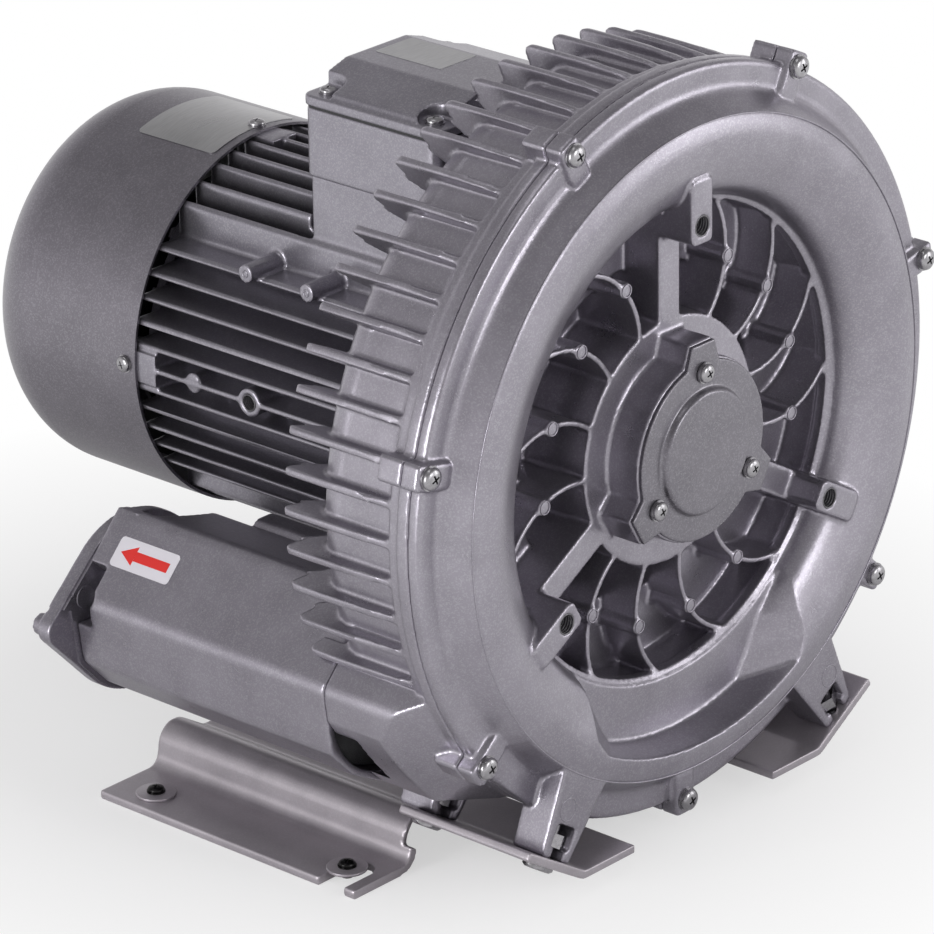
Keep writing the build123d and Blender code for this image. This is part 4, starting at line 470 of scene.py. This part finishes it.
SIDE_BOSS_X = 94.0
SIDE_BOSS_Y = 184
side_seats = [(spot(side * SIDE_BOSS_X, SIDE_BOSS_Y, 0), (side, 0, 0)) for side in SIDES]
# These threads take the same near-black metal, painted shade of the tapped bore.
rings(thread(0.0040, 0.0004, 32, 8, 0.00125), side_seats, "side_boss_threads", shaded_bore.material,
      "motor_aluminium")
def hex_head(across, height, shank, length):
    """A hexagon head with its corners turned off, over a washer on z = 0, and the shank below."""
    washer = 0.2 * height
    corner = across / math.sqrt(3)
    bpy.ops.mesh.primitive_cylinder_add(vertices=6, radius=corner, depth=height - washer,
                                        location=(0, 0, washer + (height - washer) / 2))
    head = bpy.context.object
    bpy.ops.mesh.primitive_cone_add(vertices=48, radius1=corner + 2 * height, radius2=0.94 * across / 2,
                                    depth=2 * height, location=(0, 0, 0.0))
    cone = bpy.context.object
    modified(head, "BOOLEAN", object=cone, operation="INTERSECT", solver="EXACT")
    bpy.data.objects.remove(cone)
    bpy.ops.mesh.primitive_cylinder_add(vertices=40, radius=corner * 1.02, depth=washer,
                                        location=(0, 0, washer / 2))
    plate = bpy.context.object
    modified(plate, "BEVEL", width=0.25 * washer, segments=2)
    head = joined([head, plate, shank_of(shank, length)])
    modified(head, "BEVEL", width=0.00015, segments=2, limit_method="ANGLE", angle_limit=math.radians(30))
    smooth_between_edges(head)
    return head


MOTOR_BOLT_R = 84
MOTOR_BOLT_Y = 72.1
motor_seats = [(round_place(MOTOR_BOLT_R, 45 + 90 * k, MOTOR_BOLT_Y), (0, 1, 0)) for k in range(4)]
fitted(hex_head(0.013, 0.0053, 0.004, 0.0154), "motor_bolt", motor_seats, zinc, "zinc_steel", "motor_bolts")
dress(zinc, "shield_screws", "silencer_bolts", "leg_nuts")
# ------------------------------------------------------------------ fan cowl
# The cowl is deep-drawn from thin sheet and sprayed a smoother, slightly browner grey. Four cross
# recess screws with washers hold it, and a bare aluminium rating plate is stuck on its side.
COWL_DARK = (0.178, 0.167, 0.190)
COWL_LIGHT = (0.228, 0.215, 0.243)
cowl_paint = metallic_paint("cowl_satin_paint", COWL_DARK, COWL_LIGHT, flake=0.12, grain=0.5, shine=0.33,
                            metal=0.80)
dress(cowl_paint, "fan_cowl")
COWL_R = 96.9
COWL_SCREW_Y = 265
quarters = [math.pi / 2 * k for k in range(4)]
cowl_seats = [(round_place(COWL_R, 90 * k, COWL_SCREW_Y), (math.cos(quarter), 0, math.sin(quarter)))
              for k, quarter in enumerate(quarters)]
fitted(pan_screw(0.0046, 0.0030, 0.002, 0.0118), "cowl_screw", cowl_seats, zinc, "zinc_steel", "cowl_screws")
def corners_rounded(piece, size):
    """Round off the four corners of a flat or rolled plate that is still one face thick."""
    only(piece)
    bpy.ops.object.mode_set(mode="EDIT")
    bpy.ops.mesh.select_mode(type="VERT")
    bpy.ops.mesh.select_all(action="DESELECT")
    mesh = bmesh.from_edit_mesh(piece.data)
    for vertex in mesh.verts:
        vertex.select_set(len(vertex.link_faces) == 1)
    bmesh.update_edit_mesh(piece.data)
    bpy.ops.mesh.bevel(offset=size, segments=6, affect="VERTICES")
    bpy.ops.object.mode_set(mode="OBJECT")


PLATE_START = 74
PLATE_SPAN = 35
PLATE_LENGTH = 0.052
PLATE_Y = 289
GLUE = 0.0001


def off_the_plate(centre, normal):
    """Whether a face of the rolled tube lies outside the arc that the plate takes up."""
    angle = math.degrees(math.atan2(centre.y, centre.x)) - PLATE_START
    return not 0 < angle < PLATE_SPAN


bpy.ops.mesh.primitive_cylinder_add(vertices=144, radius=COWL_R / 1000 + GLUE, depth=PLATE_LENGTH,
                                    end_fill_type="NOTHING")
plate = bpy.context.object
faces_where(plate, off_the_plate)
bpy.ops.mesh.delete(type="FACE")
bpy.ops.object.mode_set(mode="OBJECT")
corners_rounded(plate, 0.003)
modified(plate, "SOLIDIFY", thickness=0.0004, offset=1.0)
plate.data.transform(Matrix.Translation(spot(0, PLATE_Y, 0)) @ Matrix.Rotation(math.pi / 2, 4, "X"))
plate_metal = steel("brushed_plate", (0.40, 0.40, 0.405), (0.56, 0.56, 0.565), 0.34, grain=120,
                    stretch=(1, 14, 1))
finished(plate, "bare_rating_plate", plate_metal, "cowl_paint")
smooth_between_edges(plate)
# ------------------------------------------------------------------ terminal box
# A cast box and crowned lid over the motor, sealed by a rubber frame and closed by four pan-head
# screws in scooped corners. Two hexagon plugs blank the cable entries, and a bare plate lies on top.
casting("terminal_box", "motor_aluminium", motor_paint, voxel=0.0008, most=70000, rounds=3)
casting("terminal_box_lid", "motor_aluminium", motor_paint, voxel=0.0008, most=70000, rounds=3)
UP = (0, 0, 1)
LID_X = -8.5
LID_Y = 134.75
LID_SCREW_X = 41.5
LID_SCREW_Y = 33.75
LID_SCREW_Z = 148.7
lid_seats = [(spot(LID_X + x * LID_SCREW_X, LID_Y + y * LID_SCREW_Y, LID_SCREW_Z), UP)
             for x in SIDES for y in SIDES]
fitted(pan_screw(0.0048, 0.0032, 0.0025, 0.0178), "lid_screw", lid_seats, zinc, "zinc_steel", "lid_screws")
block_plastic = moulded("terminal_moulding", (0.30, 0.26, 0.19), (0.42, 0.37, 0.28), 0.5)
dress(block_plastic, "terminal_block")
plug_plastic = moulded("plug_plastic", (0.012, 0.012, 0.013), (0.03, 0.03, 0.032), 0.38)
dress(plug_plastic, "cable_plugs")


def thin_plate(width, length, corner, thickness):
    """A flat plate with rounded corners, lying on z = 0."""
    bpy.ops.mesh.primitive_plane_add(size=1, location=(0, 0, 0))
    sheet = bpy.context.object
    sheet.data.transform(Matrix.Diagonal((width, length, 1, 1)))
    corners_rounded(sheet, corner)
    modified(sheet, "SOLIDIFY", thickness=thickness, offset=1.0)
    return sheet


LID_PLATE_PLACE = spot(-2.5, 149.5, 159.62)
lid_plate = thin_plate(0.026, 0.042, 0.0015, 0.0003)
lid_plate.data.transform(Matrix.Translation(LID_PLATE_PLACE))
finished(lid_plate, "bare_lid_plate", plate_metal, "motor_aluminium")
# ------------------------------------------------------------------ silencers
# Two cast silencers hang side by side on the housing, each with a perforated steel tube in a foam
# sleeve and a flange with the threaded pipe port behind. The flange plate is round with two ears,
# each silencer is notched for the bolt in one of them, and a sticker shows which way the air goes.
PORT_X = 125
PORT_Z = -103


def upright(radius, x, z, start, end):
    """A round bar along the machine, the shaft's way, between two places behind the parting face."""
    bpy.ops.mesh.primitive_cylinder_add(vertices=96, radius=radius / 1000, depth=(end - start) / 1000,
                                        location=spot(x, (start + end) / 2, z), rotation=(math.pi / 2, 0, 0))
    bar = bpy.context.object
    bpy.ops.object.transform_apply(location=True, rotation=True, scale=True)
    return bar


FLANGE_ROUNDS = ((45.5, 127, -105), (8.2, 180.0, -103.5), (9.5, 73.4, -114.9))


def oval(side, spare, start=220, end=260):
    """The outline of the two-bolt flange: a disc drawn out to its ears, as a bar between two places."""
    bar = joined([upright(radius - spare, side * x, z, start, end) for radius, x, z in FLANGE_ROUNDS])
    only(bar)
    bpy.ops.object.mode_set(mode="EDIT")
    bpy.ops.mesh.select_all(action="SELECT")
    bpy.ops.mesh.convex_hull()
    bpy.ops.object.mode_set(mode="OBJECT")
    return bar


NOTCH_PLACE = (176, 224.8, -71)
NOTCH_SIZE = (0.046, 0.0116, 0.062)
SHOULDER_PLACE = (145.0, 224.2, -66.2)
SHOULDER_SIZE = (0.030, 0.0124, 0.010)
SHOULDER_SLOPE = 46.2
BORE_R = 35
PLATE_FACES = (230.5, 237.5)
GASKET_SPARE = 1.2


def mirrored_spot(side, place):
    """A place given for the right hand silencer, or its mirror image on the left for a side of -1."""
    x, y, z = place
    return spot(side * x, y, z)


for turn, side in ((-1, "left"), (1, "right")):
    bpy.ops.mesh.primitive_cube_add(size=1, location=mirrored_spot(turn, NOTCH_PLACE), scale=NOTCH_SIZE)
    notch = bpy.context.object
    bpy.ops.mesh.primitive_cube_add(size=1, location=(0, 0, 0))
    shoulder = bpy.context.object
    shoulder.data.transform(Matrix.Diagonal((*SHOULDER_SIZE, 1)))
    slope = Matrix.Rotation(math.radians(turn * SHOULDER_SLOPE), 4, "Y")
    shoulder.data.transform(Matrix.Translation(mirrored_spot(turn, SHOULDER_PLACE)) @ slope)
    casting("silencer_" + side, "cast_aluminium", cast_paint, voxel=0.0011, most=90000, rounds=4,
            shaped=((notch, "DIFFERENCE"), (shoulder, "UNION")))
    flange_outline = oval(turn, 0)
    flange_plate = oval(turn, 0, *PLATE_FACES)
    bore = upright(BORE_R, turn * PORT_X, PORT_Z, 225, 245)
    modified(flange_plate, "BOOLEAN", object=bore, operation="DIFFERENCE", solver="EXACT")
    casting("port_flange_" + side, "cast_aluminium", cast_paint, voxel=0.0008, most=50000, rounds=3,
            shaped=((flange_outline, "INTERSECT"), (flange_plate, "UNION")))
    gasket_outline = oval(turn, GASKET_SPARE)
    gasket = merged_copy("port_gasket_" + side)
    modified(gasket, "BOOLEAN", object=gasket_outline, operation="INTERSECT", solver="EXACT")
    finished(gasket, f"port_gasket_{side}_trimmed", cast_paint, "gasket_rubber", "port_gasket_" + side)
    for tool in (notch, shoulder, flange_outline, flange_plate, bore, gasket_outline):
        bpy.data.objects.remove(tool)
tube = steel("galvanised_tube", (0.36, 0.37, 0.38), (0.60, 0.61, 0.62), 0.38, grain=90)
dress(tube, "sound_tube_left", "sound_tube_right")
foam = moulded("grey_foam", (0.05, 0.05, 0.052), (0.12, 0.12, 0.125), 0.92, grain=420, depth=0.0006)
dress(foam, "foam_sleeve_left", "foam_sleeve_right")


PORT_BOLT_PLACES = ((164.5, 230.5, -93), (73.4, 225, -114.9))
port_seats = [(mirrored_spot(side, place), FRONT) for side in SIDES for place in PORT_BOLT_PLACES]
fitted(hex_head(0.0115, 0.0044, 0.003, 0.0074), "port_bolt", port_seats, cast_paint, "zinc_steel",
       "port_bolts")

STICKER_NORMAL = Vector((-0.722, 0, 0.692))
STICKER_DOWN = Vector((-0.692, 0, -0.722))
STICKER_PLACE = spot(-152.7, 199, -66.9)
sticker_turn = Matrix((-STICKER_DOWN, Vector((0, 1, 0)), STICKER_NORMAL)).transposed().to_4x4()
sticker_seat = Matrix.Translation(STICKER_PLACE + STICKER_NORMAL * GLUE) @ sticker_turn
sticker_white = moulded("sticker_film", (0.72, 0.70, 0.75), (0.80, 0.78, 0.83), 0.35, grain=40,
                        depth=0.00001)
sticker_red = moulded("sticker_print", (0.72, 0.025, 0.02), (0.80, 0.035, 0.028), 0.35, grain=40,
                      depth=0.00001)
STICKER_THICKNESS = 0.0002
label = thin_plate(0.0158, 0.039, 0.0022, STICKER_THICKNESS)
label.data.transform(sticker_seat)
finished(label, "flow_sticker", sticker_white, "cast_aluminium")

ARROW_SHAFT = Matrix.Translation((0, -0.0045, 0)) @ Matrix.Diagonal((0.0050, 0.0220, 1, 1))
ARROW_POINT = Matrix.Translation((0, 0.0097, 0)) @ Matrix.Diagonal((0.0058, 0.0062, 1, 1))
bpy.ops.mesh.primitive_plane_add(size=1, location=(0, 0, 0))
arrow = bpy.context.object
arrow.data.transform(ARROW_SHAFT)
faces_where(arrow, lambda centre, normal: True)
bpy.ops.mesh.subdivide(number_cuts=1)
bpy.ops.object.mode_set(mode="OBJECT")
bpy.ops.mesh.primitive_circle_add(vertices=3, radius=1, fill_type="NGON", location=(0, 0, 0))
point = bpy.context.object
point.data.transform(ARROW_POINT)
arrow = joined([arrow, point])
modified(arrow, "SOLIDIFY", thickness=0.0001, offset=1.0)
arrow.data.transform(Matrix.Translation(STICKER_NORMAL * STICKER_THICKNESS) @ sticker_seat)
finished(arrow, "flow_arrow", sticker_red, "cast_aluminium")
# ------------------------------------------------------------------ foot brackets
# Two pressed sheet-steel brackets carry the machine on its four cast legs. Hexagon bolts hold the
# legs from below, and dark pan-head screws with plain washers stand in the foot holes and slots.
BRACKET_DARK = (0.390, 0.362, 0.392)
BRACKET_LIGHT = (0.520, 0.484, 0.518)
bracket_paint = metallic_paint("bracket_grey_paint", BRACKET_DARK, BRACKET_LIGHT, flake=0.10, grain=0.5,
                               shine=0.36, metal=0.60)
for side in ("left", "right"):
    casting("foot_bracket_" + side, "bracket_paint", bracket_paint, voxel=0.0009, most=60000, rounds=3)
LEG_ANGLES = (-121.5, -58.5)
LEG_ROWS_Y = (-12, 58)
LEG_BOLT_R = 211.4
leg_turns = [(angle, math.radians(angle)) for angle in LEG_ANGLES]
leg_seats = [(round_place(LEG_BOLT_R, angle, y), (math.cos(turn), 0, math.sin(turn)))
             for angle, turn in leg_turns for y in LEG_ROWS_Y]
fitted(hex_head(0.013, 0.0053, 0.004, 0.0188), "leg_bolt", leg_seats, zinc, "zinc_steel", "leg_bolts")

FOOT_HOLES = ((145, 205), (144, 79))
FOOT_PLACES = [(side * x, y) for side in SIDES for x, y in FOOT_HOLES]
FOOT_TOP_Z = -195.5
WASHER_TOP_Z = -194.0
WASHER_THICKNESS = 0.0015
bpy.ops.mesh.primitive_cylinder_add(vertices=64, radius=0.0100, depth=WASHER_THICKNESS,
                                    location=(0, 0, WASHER_THICKNESS / 2))
foot_washer = bpy.context.object
modified(foot_washer, "BEVEL", width=0.0004, segments=3)
smooth_between_edges(foot_washer)
washer_seats = [(spot(x, y, FOOT_TOP_Z), UP) for x, y in FOOT_PLACES]
fitted(foot_washer, "foot_washer", washer_seats, bracket_paint, "bracket_paint", None)
blackened = steel("blackened_steel", (0.012, 0.012, 0.012), (0.045, 0.044, 0.044), 0.30)
screw_seats = [(spot(x, y, WASHER_TOP_Z), UP) for x, y in FOOT_PLACES]
fitted(pan_screw(0.0046, 0.0030, 0.003, 0.0055), "foot_screw", screw_seats, blackened, "dark_steel", None)
# ------------------------------------------------------------------ studio
# A plain white floor under soft lamps. Close round the machine the floor keeps its shadow; further
# out it fades into plain white.
bpy.ops.mesh.primitive_plane_add(size=12, location=(0, 0, 0))
floor = bpy.context.object
floor.name = "studio_floor"
white_floor = Finish("studio_white", (0.97, 0.97, 0.97), 0.0, 0.9)
floor_nodes = white_floor.tree.nodes
ray = floor_nodes.new("ShaderNodeLightPath")
seen = Signal(white_floor, ray.outputs["Is Camera Ray"])
glossy = Signal(white_floor, ray.outputs["Is Glossy Ray"])
through = Signal(white_floor, ray.outputs["Is Transmission Ray"])
mirrored = glossy + through
distance = white_floor.node("ShaderNodeVectorMath", {"operation": "LENGTH"}, {0: white_floor.place},
                            output="Value")
glow = floor_nodes.new("ShaderNodeEmission")
blend = floor_nodes.new("ShaderNodeMixShader")
white_share = distance.ramp(0.18, 0.42, 0.55, 1.0) * seen + distance.ramp(0.25, 0.7) * mirrored
white_floor.feed(blend.inputs[0], white_share)
white_floor.tree.links.new(floor_nodes["Principled BSDF"].outputs[0], blend.inputs[1])
white_floor.tree.links.new(glow.outputs[0], blend.inputs[2])
white_floor.tree.links.new(blend.outputs[0], floor_nodes["Material Output"].inputs[0])
floor.data.materials.append(white_floor.material)

world = bpy.data.worlds.new("studio_air")
bpy.context.scene.world = world
world.use_nodes = True
air = world.node_tree
path = air.nodes.new("ShaderNodeLightPath")
dim = air.nodes["Background"]
dim.inputs["Color"].default_value = (1.0, 0.98, 1.0, 1)
dim.inputs["Strength"].default_value = 0.40
bright = air.nodes.new("ShaderNodeBackground")
bright.inputs["Color"].default_value = (1, 1, 1, 1)
bright.inputs["Strength"].default_value = 1.0
around = air.nodes.new("ShaderNodeTexCoord")
height = air.nodes.new("ShaderNodeSeparateXYZ")
air.links.new(around.outputs["Generated"], height.inputs[0])
fade = air.nodes.new("ShaderNodeMapRange")
air.links.new(height.outputs["Z"], fade.inputs["Value"])
SKY_FADE = (("From Min", 0.0), ("From Max", 0.75), ("To Min", 0.95), ("To Max", 0.32))
for socket, value in SKY_FADE:
    fade.inputs[socket].default_value = value
ceiling = air.nodes.new("ShaderNodeBackground")
ceiling.inputs["Color"].default_value = (1.0, 0.985, 1.0, 1)
air.links.new(fade.outputs[0], ceiling.inputs["Strength"])
previous = dim.outputs[0]
SEEN_BY = (("Is Glossy Ray", ceiling), ("Is Camera Ray", bright), ("Is Transmission Ray", bright))
for ray_kind, seen_air in SEEN_BY:
    choose = air.nodes.new("ShaderNodeMixShader")
    air.links.new(path.outputs[ray_kind], choose.inputs[0])
    air.links.new(previous, choose.inputs[1])
    air.links.new(seen_air.outputs[0], choose.inputs[2])
    previous = choose.outputs[0]
air.links.new(previous, air.nodes["World Output"].inputs[0])


MACHINE_MIDDLE = Vector((0, -0.02, 0.2))


def lamp(name, place, width, height, power):
    """A soft rectangular lamp turned to the middle of the machine."""
    bpy.ops.object.light_add(type="AREA", location=place)
    made = bpy.context.object
    made.name = name
    made.data.shape = "RECTANGLE"
    made.data.size = width
    made.data.size_y = height
    made.data.energy = power
    made.rotation_euler = (MACHINE_MIDDLE - Vector(place)).to_track_quat("-Z", "Y").to_euler()


lamp("left_softbox", (-1.9, 0.20, 0.42), 0.6, 0.9, 15)
lamp("front_softbox", (0.15, -2.1, 0.85), 0.8, 0.8, 9)
lamp("right_softbox", (1.4, -1.6, 0.6), 0.6, 1.1, 6)
lamp("top_softbox", (-0.3, 0.1, 2.0), 1.4, 0.6, 3)

CAMERA_PLACE = (-1.9843, -1.8652, 1.2735)
CAMERA_AIM = Vector((-0.0817, -0.1498, 0.1976))
CAMERA_ROLL = -0.761
bpy.ops.object.camera_add(location=CAMERA_PLACE)
camera = bpy.context.object
camera.name = "studio_camera"
camera.data.sensor_width = 36
camera.data.lens = 229.4
camera.data.clip_end = 50
look = (CAMERA_AIM - camera.location).to_track_quat("-Z", "Y")
camera.rotation_euler = (look.to_matrix() @ Matrix.Rotation(math.radians(CAMERA_ROLL), 3, "Z")).to_euler()
bpy.context.scene.camera = camera
bpy.context.scene.view_settings.view_transform = "Standard"
